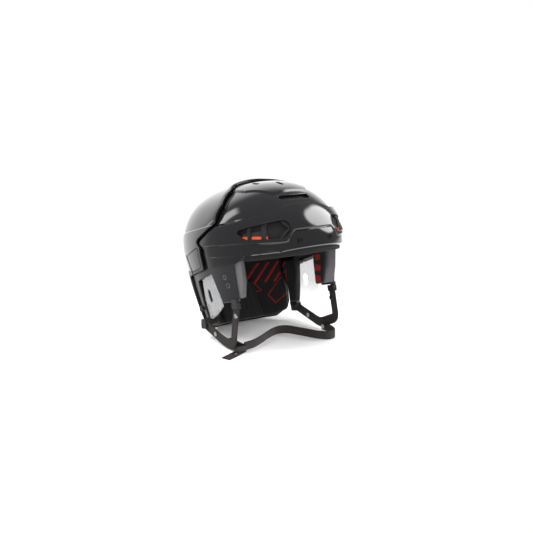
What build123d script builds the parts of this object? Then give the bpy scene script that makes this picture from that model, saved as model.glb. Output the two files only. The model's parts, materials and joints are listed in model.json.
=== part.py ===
from build123d import *
import math
import os

os.makedirs("parts", exist_ok=True)

# The helmet's own frame: +X the wearer's left, -Y the front, +Z up, the brow's lower edge at height zero.
# Driving sizes of the shell, in millimetres
HALF_WIDTH = 99.5
FRONT_REACH = 128.0
REAR_REACH = 138.0
CROWN_HEIGHT = 100.0
SHELL_WALL = 2.6
ROUNDNESS = 2.35
RING_POINTS = 8
REST_TILT = 12.0
REST_LIFT = 130.0
CUT_REACH = 150.0

# How far the raised levels stand out from the plain dome
WING_RISE = 4.8
BAND_RISE = 3.0
CROWN_RISE = 2.2
TONGUE_DROP = 2.2

# Rear shell
REAR_GAP = 0.5
REAR_WALL = 2.8
REAR_STEP_RISE = 1.0
LIP_RISE = 4.2
SEAM_GAP = 0.6

# Latch, its pin and its toothed track
LATCH_GAP = 0.5
LATCH_PROUD = 0.3
LATCH_UNDERSIDE_RISE = 0.3
BARREL_RADIUS = 2.3
PIN_RADIUS = 1.1
PIN_CLEARANCE = 0.05
PIN_SEAT = 3.6
PIN_DEPTH = 2.4
TRACK_TOP_GAP = 0.25
TRACK_SEAT_GAP = 0.1
TRACK_PITCH = 3.6
TRACK_NOTCH = 1.5
TRACK_FLOOR = 1.0
TRACK_TEETH = 7

# Liner foam
LINER_GAP = 0.3
LINER_DEPTH = 17.0
CROWN_LINER_DEPTH = 15.0
REAR_LINER_DEPTH = 15.0
OCCIPITAL_DEPTH = 8.0
OCCIPITAL_RIB = 2.0
OCCIPITAL_GROOVE_WIDTH = 3.0
OCCIPITAL_PITCH = 11.0
OCCIPITAL_HALF_WIDTH = 44.0
TEMPLE_EXTRA = 2.0

# Side vents
VENT_ROUND = 2.0
GRILLE_WALL = 2.0
GRILLE_MARGIN = 1.8
GRILLE_RIB = 3.0
VENT_PAD_DEPTH = 2.0
SLOT_HALF_WIDTH = 25.0
SLOT_LOW = 68.0
SLOT_HEIGHT = 6.5
CROWN_VENT_LENGTH = 15.0
CROWN_VENT_WIDTH = 5.5
REAR_VENT_LENGTH = 26.0
REAR_VENT_WIDTH = 7.0
REAR_VENT_TURN = 35.0

# Ear guards, clear plates set inside the shell
GUARD_WALL = 2.0
GUARD_SLOT_WIDTH = 7.5
GUARD_SLOT_LENGTH = 23.0
GUARD_SLOT_TURN = 8.0
RIVET_RADIUS = 1.6
RIVET_HEAD_RADIUS = 2.6
RIVET_HEAD_HEIGHT = 1.2
HOLE_CLEARANCE = 0.1

# Fasteners
BROW_SCREW_X = 25.0
BROW_SCREW_Z = 11.0
BROW_HEAD_RADIUS = 4.0
BROW_HEAD_HEIGHT = 2.2
BROW_HEAD_SEAT = 1.0
BROW_DRIVE = 2.6
BROW_SHANK_RADIUS = 2.4
BROW_NUT_RADIUS = 4.2
BROW_NUT_HEIGHT = 1.4
BROW_NUT_SEAT = 2.8
INSERT_BORE_RADIUS = 2.5
INSERT_RADIUS = 3.6
INSERT_FLANGE_RADIUS = 5.8
INSERT_FLANGE_HEIGHT = 1.4
INSERT_RECESS = 5.0
ANCHOR_HEAD_RADIUS = 5.0
ANCHOR_HEAD_HEIGHT = 3.2
ANCHOR_SHANK_RADIUS = 2.4
ANCHOR_NUT_RADIUS = 5.0
ANCHOR_NUT_HEIGHT = 1.6

# Webbing and what is on it
STRAP_WIDTH = 15.0
STRAP_THICKNESS = 1.6
STRAP_X = 86.0
CHIN_STRAP_WIDTH = 13.0
SNAP_RADIUS = 3.6
SNAP_HEIGHT = 1.4
CLIP_WIDTH = 14.0
CLIP_WALL = 3.0
CLIP_INNER_WALL = 1.6
CLIP_TUCK = 1.0
CLIP_OVER_EDGE = 5.0
CLIP_BELOW_EDGE = 9.0
CLIP_EDGE_GAP = 0.2
CLIP_SKIN_GAP = 0.25
CLIP_SLOT_CLEARANCE = 0.3
SLIDER_LENGTH = 42.0
SLIDER_WIDTH = 15.0
SLIDER_HEIGHT = 8.0
SLIDER_BAR = 3.0
SLIDER_Y = -38.0
TAIL_THICKNESS = 1.8
TAIL_GAP = 0.3
EDGE_ROUND = 1.0

# Dome rows, from the skirt to the crown: height as a share of the crown's height, half width, front
# reach and rear reach as shares of theirs, and how much the wall there leans up
DOME_SHARES = (
    (-1.20, 0.835, 0.720, 0.650, 0.00),
    (-0.95, 0.875, 0.805, 0.770, 0.00),
    (-0.70, 0.915, 0.890, 0.855, 0.00),
    (-0.40, 0.950, 0.953, 0.928, 0.00),
    (-0.10, 0.980, 0.992, 0.978, 0.00),
    (0.10, 1.000, 1.000, 1.000, 0.00),
    (0.35, 0.985, 0.953, 0.986, 0.08),
    (0.55, 0.915, 0.852, 0.920, 0.35),
    (0.72, 0.794, 0.727, 0.826, 0.60),
    (0.86, 0.603, 0.578, 0.688, 0.82),
    (0.95, 0.382, 0.390, 0.493, 0.94),
    (0.985, 0.210, 0.215, 0.270, 0.98),
    (0.998, 0.080, 0.094, 0.116, 1.00),
)

# Outlines in the side view: shares of the front reach and of the crown's height
FRONT_COVER_SHARES = (
    (0.375, 1.30), (0.375, -0.19), (0.575, -0.21), (0.56, -0.43), (0.475, -0.66), (0.44, -0.97),
    (0.34, -0.97), (0.36, -0.34), (-0.02, -0.23), (-0.135, -0.66), (-0.43, -0.63), (-0.50, -0.35),
    (-0.523, -0.13), (-0.61, -0.03), (-0.90, -0.03), (-1.03, 0.0), (-1.30, 0.0), (-1.30, 1.30),
)
WING_SHARES = (
    (0.11, 0.24), (-0.24, 0.45), (-0.50, 0.48), (-0.79, 0.545), (-0.80, 0.62), (-1.20, 0.62),
    (-1.20, 0.075), (-0.905, 0.08), (-0.61, 0.12), (0.03, 0.14),
)
BAND_SHARES = (
    (0.06, 0.18), (-0.10, -0.01), (-0.585, -0.03), (-0.90, -0.03), (-1.03, 0.0), (-1.20, 0.0),
    (-1.20, 0.28), (-0.50, 0.22),
)
REAR_COVER_SHARES = (
    (0.17, 1.30), (0.17, 1.12), (0.12, 1.03), (0.047, 1.02), (-0.17, 0.87), (-0.26, 0.68),
    (-0.235, 0.47), (0.125, 0.26), (0.118, 0.22), (0.07, 0.16), (0.07, -0.17), (0.45, -0.25),
    (0.5625, -0.27), (0.516, -0.60), (0.47, -0.90), (0.48, -0.99), (0.58, -1.12), (1.30, -1.17),
    (1.30, 1.30),
)
LIP_SHARES = (
    (0.17, 1.30), (0.17, 1.12), (0.12, 1.03), (0.047, 1.02), (-0.17, 0.87), (-0.26, 0.68),
    (-0.235, 0.47), (-0.185, 0.445), (-0.212, 0.67), (-0.135, 0.835), (0.06, 0.965), (0.145, 0.98),
    (0.215, 1.09), (0.215, 1.30),
)
REAR_STEP_SHARES = ((-0.30, 0.465), (0.26, 0.41), (1.30, 0.33), (1.30, -1.30), (-0.30, -1.30))
LATCH_SHARES = ((0.12, 0.155), (0.47, 0.035), (0.39, -0.19), (0.12, -0.13))
HINGE_SHARES = ((0.47, 0.035), (0.39, -0.19))
TRACK_SHARES = (0.17, -0.08, 0.06)
VENT_SHARES = (
    (-0.54, 0.32), (-0.61, 0.345), (-0.88, 0.41), (-0.945, 0.29), (-0.92, 0.165), (-0.64, 0.205),
)
VENT_RIB_SHARES = ((-0.66, -0.71), (-0.78, -0.83))
VENT_PAD_SHARES = ((-0.60, 0.28), (-0.82, 0.30), (-0.84, 0.15), (-0.60, 0.18))
VENT_INNER_SHARE = 0.34
GUARD_SHARES = (
    (0.275, -0.262), (0.05, -0.212), (0.03, -0.20), (-0.09, -0.16), (-0.09, -0.35), (-0.08, -0.72),
    (0.10, -0.84), (0.28, -0.92), (0.34, -0.93), (0.33, -0.60),
)
GUARD_SLOT_SHARES = (0.175, -0.565)
RIVET_SHARES = ((0.20, -0.275), (-0.055, -0.195))
INSERT_SHARES = ((-0.266, -0.29), (-0.297, -0.41))
ANCHOR_SHARES = (0.40, -0.76)
FRONT_CLIP_SHARES = (-0.345, -0.652)
REAR_CLIP_SHARES = (0.39, -0.97)

# Outlines in the front view: shares of the half width and of the crown's height
BROW_RECESS_SHARES = (
    (-0.45, -0.20), (-0.41, 0.085), (-0.29, 0.235), (0.29, 0.235), (0.41, 0.085), (0.45, -0.20),
)

# The rear vents' places from behind: shares of the half width and of the crown's height
REAR_VENT_SHARES = ((0.30, 0.42), (0.30, 0.12))

# The crown's raised field from above: shares of the half width and of the front reach
CROWN_FIELD_SHARES = (
    (-0.31, -0.66), (0.31, -0.66), (0.54, -0.37), (0.60, 0.30), (-0.60, 0.30), (-0.54, -0.37),
)
CROWN_VENT_SHARES = ((0.0, -0.47), (0.26, -0.30), (-0.26, -0.30))

# Pads in the side view
BROW_PAD_SHARES = (
    (-1.30, -0.085), (-0.60, -0.095), (-0.545, -0.05), (-0.545, 0.58), (-1.30, 0.58),
)
SIDE_PAD_SHARES = (
    (-0.525, 0.58), (-0.525, -0.02), (-0.18, -0.13), (0.262, -0.20), (0.27, -0.90), (0.41, -0.90),
    (0.455, -0.66), (0.54, -0.43), (0.555, -0.24), (0.355, -0.21), (0.355, 0.58),
)
TEMPLE_PAD_SHARES = (
    (-0.54, -0.07), (-0.515, -0.37), (-0.445, -0.60), (-0.215, -0.62), (-0.165, -0.27), (-0.19, -0.155),
)
CROWN_PAD_SHARES = ((-0.75, 0.61), (0.355, 0.61), (0.355, 1.30), (-0.75, 1.30))
REAR_LINER_SHARES = (
    (0.395, 1.30), (0.395, -0.15), (0.60, -0.17), (0.595, -0.43), (0.51, -0.66), (0.465, -0.97),
    (0.48, -1.02), (0.60, -1.085), (1.30, -1.13), (1.30, 1.30),
)
OCCIPITAL_SHARES = ((0.45, -0.50), (1.30, -0.50), (1.30, -1.13), (0.45, -1.05))

# Places of the webbing once the helmet rests: side view (Y, Z), and the chin strap from above (X, Y)
RIGHT_STRAP_ROUTE = ((-58.0, 70.0), (-49.0, 9.5), (-24.0, 9.5), (29.0, 22.0))
LEFT_STRAP_ROUTE = ((-58.0, 70.0), (-69.0, 27.0), (-32.0, 9.5), (29.0, 22.0))
CHIN_STRAP_ROUTE = (
    (-69.8, -52.0), (-52.0, -50.0), (-30.0, -39.0), (-8.0, -25.0), (14.0, -16.0), (29.0, -21.0),
    (39.0, -44.0), (50.0, -71.0), (61.0, -83.0), (74.0, -82.0), (82.2, -70.0), (84.1, -56.0), (84.2, -38.0),
)
TAIL_ROUTE = ((-73.0, -51.5), (-88.0, -58.0), (-98.0, -62.5))
TAIL_TIP = (-111.0, -67.5)
STUD_PLACE = (-92.0, -60.0)
STRAP_SNAPS = ((-58.2, 56.0), (-3.0, 15.0))
CHIN_SNAP_PLACE = (-43.0, 6.5)


def ring(row, grow):
    """One level section of the dome: a rounded oval, longer behind than in front."""
    height, half, front, rear, lean = row
    outward = grow * math.sqrt(1 - lean ** 2)
    level = height * CROWN_HEIGHT + grow * lean
    points = []
    for step in range(RING_POINTS + 1):
        turn = math.pi * step / RING_POINTS
        ahead = math.cos(turn)
        aside = math.sin(turn)
        reach = front * FRONT_REACH if ahead > 0 else rear * REAR_REACH
        across = abs(aside / (half * HALF_WIDTH + outward)) ** ROUNDNESS
        along = abs(ahead / (reach + outward)) ** ROUNDNESS
        size = (across + along) ** (-1 / ROUNDNESS)
        points.append((size * aside, -size * ahead, level))
    steps = [step / RING_POINTS for step in range(RING_POINTS + 1)]
    ends = ((math.pi * -points[0][1], 0, 0), (-math.pi * points[-1][1], 0, 0))
    half_ring = Edge.make_spline(points, tangents=ends, parameters=steps, scale=False)
    return Face(Wire([half_ring, half_ring.mirror(Plane.YZ)]))


DOMES = {}


def dome(grow):
    """The solid dome, everywhere the given distance outside the plain one."""
    if grow not in DOMES:
        DOMES[grow] = loft([ring(row, grow) for row in DOME_SHARES])
    return DOMES[grow]


def side_outline(shares):
    """A side view outline in millimetres."""
    return Polygon(*[(y * FRONT_REACH, z * CROWN_HEIGHT) for y, z in shares], align=None)


def grown(outline, amount):
    """An outline moved outwards, or inwards where the amount is negative."""
    return offset(outline, amount, kind=Kind.INTERSECTION)


def side_prism(outline, side=0):
    """A side view outline carried across the whole width, or over one side only."""
    flat = Plane.YZ * outline
    if side == 0:
        return extrude(flat, amount=CUT_REACH, both=True)
    return extrude(flat, amount=CUT_REACH, dir=(side, 0, 0))


def front_prism(shares, swell=0.0):
    """A front view outline carried through the front half."""
    outline = Polygon(*[(x * HALF_WIDTH, z * CROWN_HEIGHT) for x, z in shares], align=None)
    if swell:
        outline = grown(outline, swell)
    return extrude(Plane.XZ * outline, amount=CUT_REACH, dir=(0, -1, 0))


def layer(low, high, outline, side=0):
    """The part of the wall between two domes that lies inside a side view outline."""
    return (dome(high) & side_prism(outline, side)) - dome(low)


def side_place(place):
    """A side view place in millimetres."""
    return place[0] * FRONT_REACH, place[1] * CROWN_HEIGHT


def skin_x(y, z, grow):
    """Distance from the middle plane to the dome, at a place of the side view."""
    probe = Edge.make_line((0, y, z), (CUT_REACH, y, z)) & dome(grow)
    return probe.bounding_box().max.X


def brow_face_y():
    """Where the band's front face lies at the brow screws."""
    start = (BROW_SCREW_X, 0, BROW_SCREW_Z)
    probe = Edge.make_line(start, (BROW_SCREW_X, -CUT_REACH, BROW_SCREW_Z)) & dome(BAND_RISE)
    return probe.bounding_box().min.Y


def peg(start, direction, radius, length):
    """A round bar from a point along a direction."""
    return extrude(Plane(origin=start, z_dir=direction) * Circle(radius), amount=length)


def side_peg(place, radius, low, high):
    """A round bar along X on the right side, from the dome at one rise to the dome at another."""
    y, z = side_place(place)
    bar = peg((-CUT_REACH, y, z), (1, 0, 0), radius, CUT_REACH)
    return (bar & dome(high)) - dome(low)


def mirrored(shape):
    """The same piece on the wearer's left."""
    return mirror(shape, Plane.YZ)


def seam_outline(extra=0.0):
    """The zone of the front shell that the rear shell covers."""
    return grown(side_outline(REAR_COVER_SHARES), SEAM_GAP + extra)


def vent_outline():
    """The side vent's window in the side view."""
    return fillet(side_outline(VENT_SHARES).vertices(), VENT_ROUND)


def vent_prism(outline):
    """A vent outline carried over the right side, kept off the brow."""
    keep = VENT_INNER_SHARE * HALF_WIDTH
    return extrude(Plane.YZ.offset(-keep) * outline, amount=CUT_REACH, dir=(-1, 0, 0))


def raised_wing(depth):
    """The wing and brow panel's form, or the same form that far inside its wall."""
    outline = grown(side_outline(WING_SHARES), -depth) if depth else side_outline(WING_SHARES)
    wing = dome(WING_RISE - depth) & side_prism(outline)
    return wing - front_prism(BROW_RECESS_SHARES, depth)


def front_shell():
    """The front shell: wing, band, crown field, tongue, side panels, vents, slot and holes."""
    cover = side_outline(FRONT_COVER_SHARES)
    field = Polygon(*[(x * HALF_WIDTH, y * FRONT_REACH) for x, y in CROWN_FIELD_SHARES], align=None)
    crown = (dome(CROWN_RISE) & extrude(field, amount=CUT_REACH)) - side_prism(seam_outline())
    band = dome(BAND_RISE) & side_prism(side_outline(BAND_SHARES))
    main = dome(0.0) & side_prism(cover - seam_outline())
    tongue = dome(-TONGUE_DROP) & side_prism(cover & seam_outline())
    shell = main + [tongue, crown, band, raised_wing(0.0)]
    shell -= dome(-TONGUE_DROP - SHELL_WALL)
    shell -= dome(-SHELL_WALL) - side_prism(seam_outline(SHELL_WALL))
    shell -= raised_wing(SHELL_WALL)
    pocket = grown(side_outline(BAND_SHARES), -SHELL_WALL)
    shell -= dome(BAND_RISE - SHELL_WALL) & side_prism(pocket)
    slot_base = (0, -CUT_REACH / 2, SLOT_LOW + SLOT_HEIGHT / 2)
    cuts = [Pos(*slot_base) * Box(2 * SLOT_HALF_WIDTH, CUT_REACH, SLOT_HEIGHT)]
    vent = vent_prism(vent_outline())
    cuts += [vent, mirrored(vent)]
    crown_slot = SlotOverall(CROWN_VENT_LENGTH, CROWN_VENT_WIDTH, rotation=90)
    for x, y in CROWN_VENT_SHARES:
        cuts.append(extrude(Pos(x * HALF_WIDTH, y * FRONT_REACH) * crown_slot, amount=CUT_REACH))
    for place in INSERT_SHARES:
        cuts += both_side_holes(place, INSERT_RADIUS + HOLE_CLEARANCE)
    cuts += both_side_holes(ANCHOR_SHARES, ANCHOR_SHANK_RADIUS + HOLE_CLEARANCE)
    face = brow_face_y()
    for side in (-1, 1):
        screw = (side * BROW_SCREW_X, -FRONT_REACH / 2, BROW_SCREW_Z)
        cuts.append(peg(screw, (0, -1, 0), BROW_SHANK_RADIUS + HOLE_CLEARANCE, CUT_REACH))
        seat = (side * BROW_SCREW_X, face + BROW_HEAD_SEAT, BROW_SCREW_Z)
        cuts.append(peg(seat, (0, -1, 0), BROW_HEAD_RADIUS + HOLE_CLEARANCE, CUT_REACH))
    return shell - cuts


def both_side_holes(place, radius):
    """Cutters for the same round hole through both side panels."""
    y, z = side_place(place)
    hole = peg((-HALF_WIDTH / 2, y, z), (-1, 0, 0), radius, CUT_REACH)
    return [hole, mirrored(hole)]


def hinge_line():
    """The right latch's hinge: its lower point, its direction and its length."""
    ends = []
    for place in HINGE_SHARES:
        y, z = side_place(place)
        ends.append(Vector(-skin_x(y, z, REAR_GAP + PIN_DEPTH), y, z))
    along = ends[0] - ends[1]
    return ends[1], along.normalized(), along.length


def hinge_bar(radius, extra):
    """A round bar on the hinge line, longer than it by extra at both ends."""
    start, along, length = hinge_line()
    return peg(start - along * extra, along, radius, length + 2 * extra)


def rear_shell():
    """The rear shell: two levels, the thick lip along the seam, latch windows and vents."""
    outer = REAR_GAP + REAR_WALL
    cover = side_outline(REAR_COVER_SHARES)
    upper = dome(outer) & side_prism(cover)
    lower = dome(outer + REAR_STEP_RISE) & side_prism(cover & side_outline(REAR_STEP_SHARES))
    lip = dome(outer + LIP_RISE) & side_prism(side_outline(LIP_SHARES))
    shell = (upper + [lower, lip]) - dome(REAR_GAP)
    window = side_prism(grown(side_outline(LATCH_SHARES), LATCH_GAP), -1)
    window += hinge_bar(BARREL_RADIUS + LATCH_GAP, LATCH_GAP)
    hole = hinge_bar(PIN_RADIUS + PIN_CLEARANCE, PIN_SEAT)
    cuts = [window, mirrored(window), hole, mirrored(hole)]
    for x, z in REAR_VENT_SHARES:
        for side in (-1, 1):
            place = (side * x * HALF_WIDTH, REAR_REACH / 2, z * CROWN_HEIGHT)
            slot = SlotOverall(REAR_VENT_LENGTH, REAR_VENT_WIDTH, rotation=side * REAR_VENT_TURN)
            cuts.append(extrude(Pos(*place) * Plane.XZ * slot, amount=CUT_REACH, dir=(0, 1, 0)))
    return shell - cuts


def latch():
    """The right latch tile with its hinge barrel."""
    low = REAR_GAP + LATCH_UNDERSIDE_RISE
    high = REAR_GAP + REAR_WALL + REAR_STEP_RISE + LATCH_PROUD
    tile = layer(low, high, side_outline(LATCH_SHARES), -1)
    tile += hinge_bar(BARREL_RADIUS, -LATCH_GAP)
    return tile - hinge_bar(PIN_RADIUS + PIN_CLEARANCE, PIN_SEAT)


def latch_track():
    """The right toothed rack on the tongue that the latch holds."""
    start, low, high = TRACK_SHARES
    length = TRACK_PITCH * (TRACK_TEETH + 1)
    first = start * FRONT_REACH
    tall = (high - low) * CROWN_HEIGHT
    centre = (low + high) * CROWN_HEIGHT / 2
    plate = Pos(first + length / 2, centre) * Rectangle(length, tall)
    rack = layer(TRACK_SEAT_GAP - TONGUE_DROP, REAR_GAP - TRACK_TOP_GAP, plate, -1)
    notches = []
    for tooth in range(TRACK_TEETH):
        middle = first + TRACK_PITCH * (tooth + 1)
        notches.append(Pos(middle, centre) * Rectangle(TRACK_NOTCH, tall))
    cutter = side_prism(Sketch() + notches, -1) - dome(-TONGUE_DROP + TRACK_FLOOR)
    return rack - cutter


def vent_grille():
    """The right vent's frame and slanted ribs, set behind the window."""
    cells = vent_outline()
    for top_share, bottom_share in VENT_RIB_SHARES:
        cells -= rib_outline(top_share, bottom_share)
    high = WING_RISE - SHELL_WALL - LINER_GAP
    frame = dome(high) & vent_prism(grown(vent_outline(), GRILLE_MARGIN))
    return (frame - dome(high - GRILLE_WALL)) - [vent_prism(cell) for cell in cells.faces()]


def rib_outline(top_share, bottom_share):
    """One slanted rib in the side view."""
    high = CROWN_HEIGHT / 2
    half = GRILLE_RIB / 2
    upper = top_share * FRONT_REACH
    lower = bottom_share * FRONT_REACH
    top = [(upper - half, high), (upper + half, high)]
    bottom = [(lower + half, 0), (lower - half, 0)]
    return Polygon(*top, *bottom, align=None)


def vent_pad():
    """The bright foam strip behind the right vent."""
    high = WING_RISE - SHELL_WALL - 2 * LINER_GAP - GRILLE_WALL
    return layer(high - VENT_PAD_DEPTH, high, side_outline(VENT_PAD_SHARES), -1)


def liner_pad(shares, outer, depth, side=0):
    """A foam pad against the inside of a shell."""
    return layer(-depth, outer, side_outline(shares), side)


def temple_pad():
    """The right temple foam with recesses for the inserts' flanges."""
    pad = liner_pad(TEMPLE_PAD_SHARES, -SHELL_WALL - LINER_GAP, LINER_DEPTH + TEMPLE_EXTRA, -1)
    depth = SHELL_WALL + LINER_GAP + INSERT_FLANGE_HEIGHT
    for place in INSERT_SHARES:
        y, z = side_place(place)
        inner = skin_x(y, z, -depth) - INSERT_RECESS
        pad -= peg((-inner, y, z), (-1, 0, 0), INSERT_FLANGE_RADIUS + LINER_GAP, CUT_REACH)
    return pad


def side_pad():
    """The right side foam over and behind the ear, clear of the tongue and the anchor's nut."""
    outer = -TONGUE_DROP - SHELL_WALL - LINER_GAP
    pad = liner_pad(SIDE_PAD_SHARES, outer, LINER_DEPTH, -1)
    y, z = side_place(ANCHOR_SHARES)
    inner = anchor_nut_x() - LINER_GAP
    return pad - peg((-inner, y, z), (-1, 0, 0), ANCHOR_NUT_RADIUS + LINER_GAP, CUT_REACH)


def occipital_pad():
    """The ribbed pad at the nape."""
    pad = liner_pad(OCCIPITAL_SHARES, -REAR_LINER_DEPTH - LINER_GAP, REAR_LINER_DEPTH + OCCIPITAL_DEPTH)
    pad &= Pos(0, REAR_REACH / 2, 0) * Box(2 * OCCIPITAL_HALF_WIDTH, REAR_REACH, 2 * CUT_REACH)
    floor = dome(-REAR_LINER_DEPTH - OCCIPITAL_DEPTH + OCCIPITAL_RIB)
    count = int(2 * OCCIPITAL_HALF_WIDTH / OCCIPITAL_PITCH)
    grooves = []
    for k in range(count):
        x = (k - (count - 1) / 2) * OCCIPITAL_PITCH
        groove = Pos(x, REAR_REACH / 2, 0) * Box(OCCIPITAL_GROOVE_WIDTH, REAR_REACH, 2 * CUT_REACH)
        grooves.append(groove)
    return pad - ((Part() + grooves) & floor)


def ear_guard():
    """The right clear ear guard, set inside the panel, with its slot and rivet holes."""
    outline = fillet(side_outline(GUARD_SHARES).vertices(), VENT_ROUND)
    y, z = side_place(GUARD_SLOT_SHARES)
    slot = SlotOverall(GUARD_SLOT_LENGTH, GUARD_SLOT_WIDTH, rotation=90 - GUARD_SLOT_TURN)
    outline -= Pos(y, z) * slot
    for place in RIVET_SHARES:
        outline -= Pos(*side_place(place)) * Circle(RIVET_RADIUS + HOLE_CLEARANCE)
    outer = -SHELL_WALL - LINER_GAP
    return layer(outer - GUARD_WALL, outer, outline, -1)


def ear_guard_rivets():
    """The right guard's two rivets with their heads inside."""
    top = -SHELL_WALL - HOLE_CLEARANCE
    under = -SHELL_WALL - LINER_GAP - GUARD_WALL - HOLE_CLEARANCE
    rivets = []
    for place in RIVET_SHARES:
        shank = side_peg(place, RIVET_RADIUS, under, top)
        head = side_peg(place, RIVET_HEAD_RADIUS, under - RIVET_HEAD_HEIGHT, under)
        rivets.append(shank + head)
    return Part() + rivets


def temple_inserts():
    """The two right sleeves that take the side fixings of a face guard."""
    under = -SHELL_WALL - HOLE_CLEARANCE
    sleeves = []
    for place in INSERT_SHARES:
        y, z = side_place(place)
        sleeve = side_peg(place, INSERT_RADIUS, under, 0.0)
        flange = side_peg(place, INSERT_FLANGE_RADIUS, under - INSERT_FLANGE_HEIGHT, under)
        bore = peg((0, y, z), (-1, 0, 0), INSERT_BORE_RADIUS, CUT_REACH)
        sleeves.append((sleeve + flange) - bore)
    return Part() + sleeves


def brow_screws():
    """The two brow screws."""
    face = brow_face_y()
    screws = []
    for side in (-1, 1):
        seat = (side * BROW_SCREW_X, face + BROW_HEAD_SEAT, BROW_SCREW_Z)
        head = peg(seat, (0, -1, 0), BROW_HEAD_RADIUS, BROW_HEAD_HEIGHT)
        shank = peg(seat, (0, 1, 0), BROW_SHANK_RADIUS, BROW_NUT_SEAT + BROW_NUT_HEIGHT)
        socket = Pos(side * BROW_SCREW_X, face + BROW_HEAD_SEAT - BROW_HEAD_HEIGHT, BROW_SCREW_Z)
        drive = socket * Box(BROW_DRIVE, BROW_HEAD_HEIGHT, BROW_DRIVE)
        screws.append((head + shank) - drive)
    return Part() + screws


def brow_nuts():
    """The flat nuts behind the brow."""
    face = brow_face_y()
    nuts = []
    for side in (-1, 1):
        start = (side * BROW_SCREW_X, face + BROW_HEAD_SEAT + BROW_NUT_SEAT, BROW_SCREW_Z)
        body = peg(start, (0, 1, 0), BROW_NUT_RADIUS, BROW_NUT_HEIGHT)
        nuts.append(body - peg(start, (0, 1, 0), BROW_SHANK_RADIUS + HOLE_CLEARANCE, BROW_NUT_HEIGHT))
    return Part() + nuts


def anchor_nut_x():
    """Inner face of the right anchor nut, as a distance from the middle plane."""
    y, z = side_place(ANCHOR_SHARES)
    seat = skin_x(y + ANCHOR_NUT_RADIUS, z - ANCHOR_NUT_RADIUS, -SHELL_WALL) - HOLE_CLEARANCE
    return seat - ANCHOR_NUT_HEIGHT


def anchor_screw():
    """The right rear anchor: a knob outside, a shank and a nut inside."""
    y, z = side_place(ANCHOR_SHARES)
    outside = skin_x(y - ANCHOR_HEAD_RADIUS, z + ANCHOR_HEAD_RADIUS, 0.0) + HOLE_CLEARANCE
    inside = anchor_nut_x()
    knob = peg((-outside, y, z), (-1, 0, 0), ANCHOR_HEAD_RADIUS, ANCHOR_HEAD_HEIGHT)
    shank = peg((-inside, y, z), (-1, 0, 0), ANCHOR_SHANK_RADIUS, outside - inside)
    nut = peg((-inside, y, z), (-1, 0, 0), ANCHOR_NUT_RADIUS, ANCHOR_NUT_HEIGHT)
    return knob + [shank, nut]


def clip(place):
    """A right strap clip on the shell's lower edge: a cheek outside and a block below."""
    y, edge = side_place(place)
    under_wall = skin_x(y, edge, -SHELL_WALL) + CLIP_TUCK
    inner = min(under_wall, STRAP_X - STRAP_THICKNESS / 2 - CLIP_INNER_WALL)
    outer = STRAP_X + STRAP_THICKNESS / 2 + CLIP_WALL
    thick = outer - inner
    middle = -(outer + inner) / 2
    drop = CLIP_BELOW_EDGE - CLIP_EDGE_GAP
    block = Pos(middle, y, edge - CLIP_EDGE_GAP - drop / 2) * Box(thick, CLIP_WIDTH, drop)
    block = fillet(block.edges().filter_by(Axis.X), EDGE_ROUND)
    tall = CLIP_OVER_EDGE + CLIP_EDGE_GAP
    cheek = Pos(middle, y, edge - CLIP_EDGE_GAP + tall / 2) * Box(thick, CLIP_WIDTH - 2 * EDGE_ROUND, tall)
    return block + (cheek - dome(CLIP_SKIN_GAP))


def at_rest(shape):
    """A piece of the helmet turned and lifted to where it rests, its front raised."""
    return Pos(0, 0, REST_LIFT) * Rot(-REST_TILT, 0, 0) * shape


def offset_sides(route, width):
    """The two edges of a band along a route, with mitred corners."""
    left = []
    right = []
    for k, (a, b) in enumerate(route):
        before = Vector(*route[max(k - 1, 0)])
        after = Vector(*route[min(k + 1, len(route) - 1)])
        here = Vector(a, b)
        into = (here - before).normalized() if k > 0 else (after - here).normalized()
        out = (after - here).normalized() if k < len(route) - 1 else into
        mean = (into + out).normalized()
        across = Vector(-mean.Y, mean.X) * (width / 2 / mean.dot(into))
        left.append(here + across)
        right.append(here - across)
    return left, right


def web_outline(route, width):
    """A flat band along a route."""
    left, right = offset_sides(route, width)
    return Polygon(*[(p.X, p.Y) for p in left + right[::-1]], align=None)


def side_strap(route, side, swell=0.0):
    """One side's webbing, hanging in a plane beside the face."""
    outline = web_outline(route, STRAP_WIDTH + 2 * swell)
    flat = Plane.YZ.offset(side * STRAP_X) * outline
    return extrude(flat, amount=STRAP_THICKNESS / 2 + swell, both=True)


def chin_strap():
    """The chin webbing, lying on its edge in one loose curve."""
    left, right = offset_sides(CHIN_STRAP_ROUTE, STRAP_THICKNESS)
    near = Spline(*left)
    far = Spline(*right)
    ends = [Line(left[0], right[0]), Line(left[-1], right[-1])]
    return extrude(make_face([near, far] + ends), amount=CHIN_STRAP_WIDTH, dir=(0, 0, 1))


def chin_slider():
    """The slider that joins the chin webbing to the right side's webbing, with two windows."""
    outer_x = -STRAP_X + STRAP_THICKNESS / 2 + CLIP_EDGE_GAP
    centre = (outer_x + SLIDER_WIDTH / 2, SLIDER_Y, TAIL_THICKNESS + TAIL_GAP + SLIDER_HEIGHT / 2)
    body = Pos(*centre) * Box(SLIDER_WIDTH, SLIDER_LENGTH, SLIDER_HEIGHT)
    body = fillet(body.edges().filter_by(Axis.Z), EDGE_ROUND)
    opening = (SLIDER_LENGTH - 3 * SLIDER_BAR) / 2
    for side in (-1, 1):
        shift = side * (opening + SLIDER_BAR) / 2
        window = Box(SLIDER_WIDTH - 2 * SLIDER_BAR, opening, SLIDER_HEIGHT)
        body -= Pos(centre[0], centre[1] + shift, centre[2]) * window
    return body


def chin_tail():
    """The free end of the chin webbing, cut to a point."""
    left, right = offset_sides(TAIL_ROUTE, STRAP_WIDTH)
    points = [(p.X, p.Y) for p in left] + [TAIL_TIP] + [(p.X, p.Y) for p in right[::-1]]
    return extrude(Polygon(*points, align=None), amount=TAIL_THICKNESS, dir=(0, 0, 1))


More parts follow.
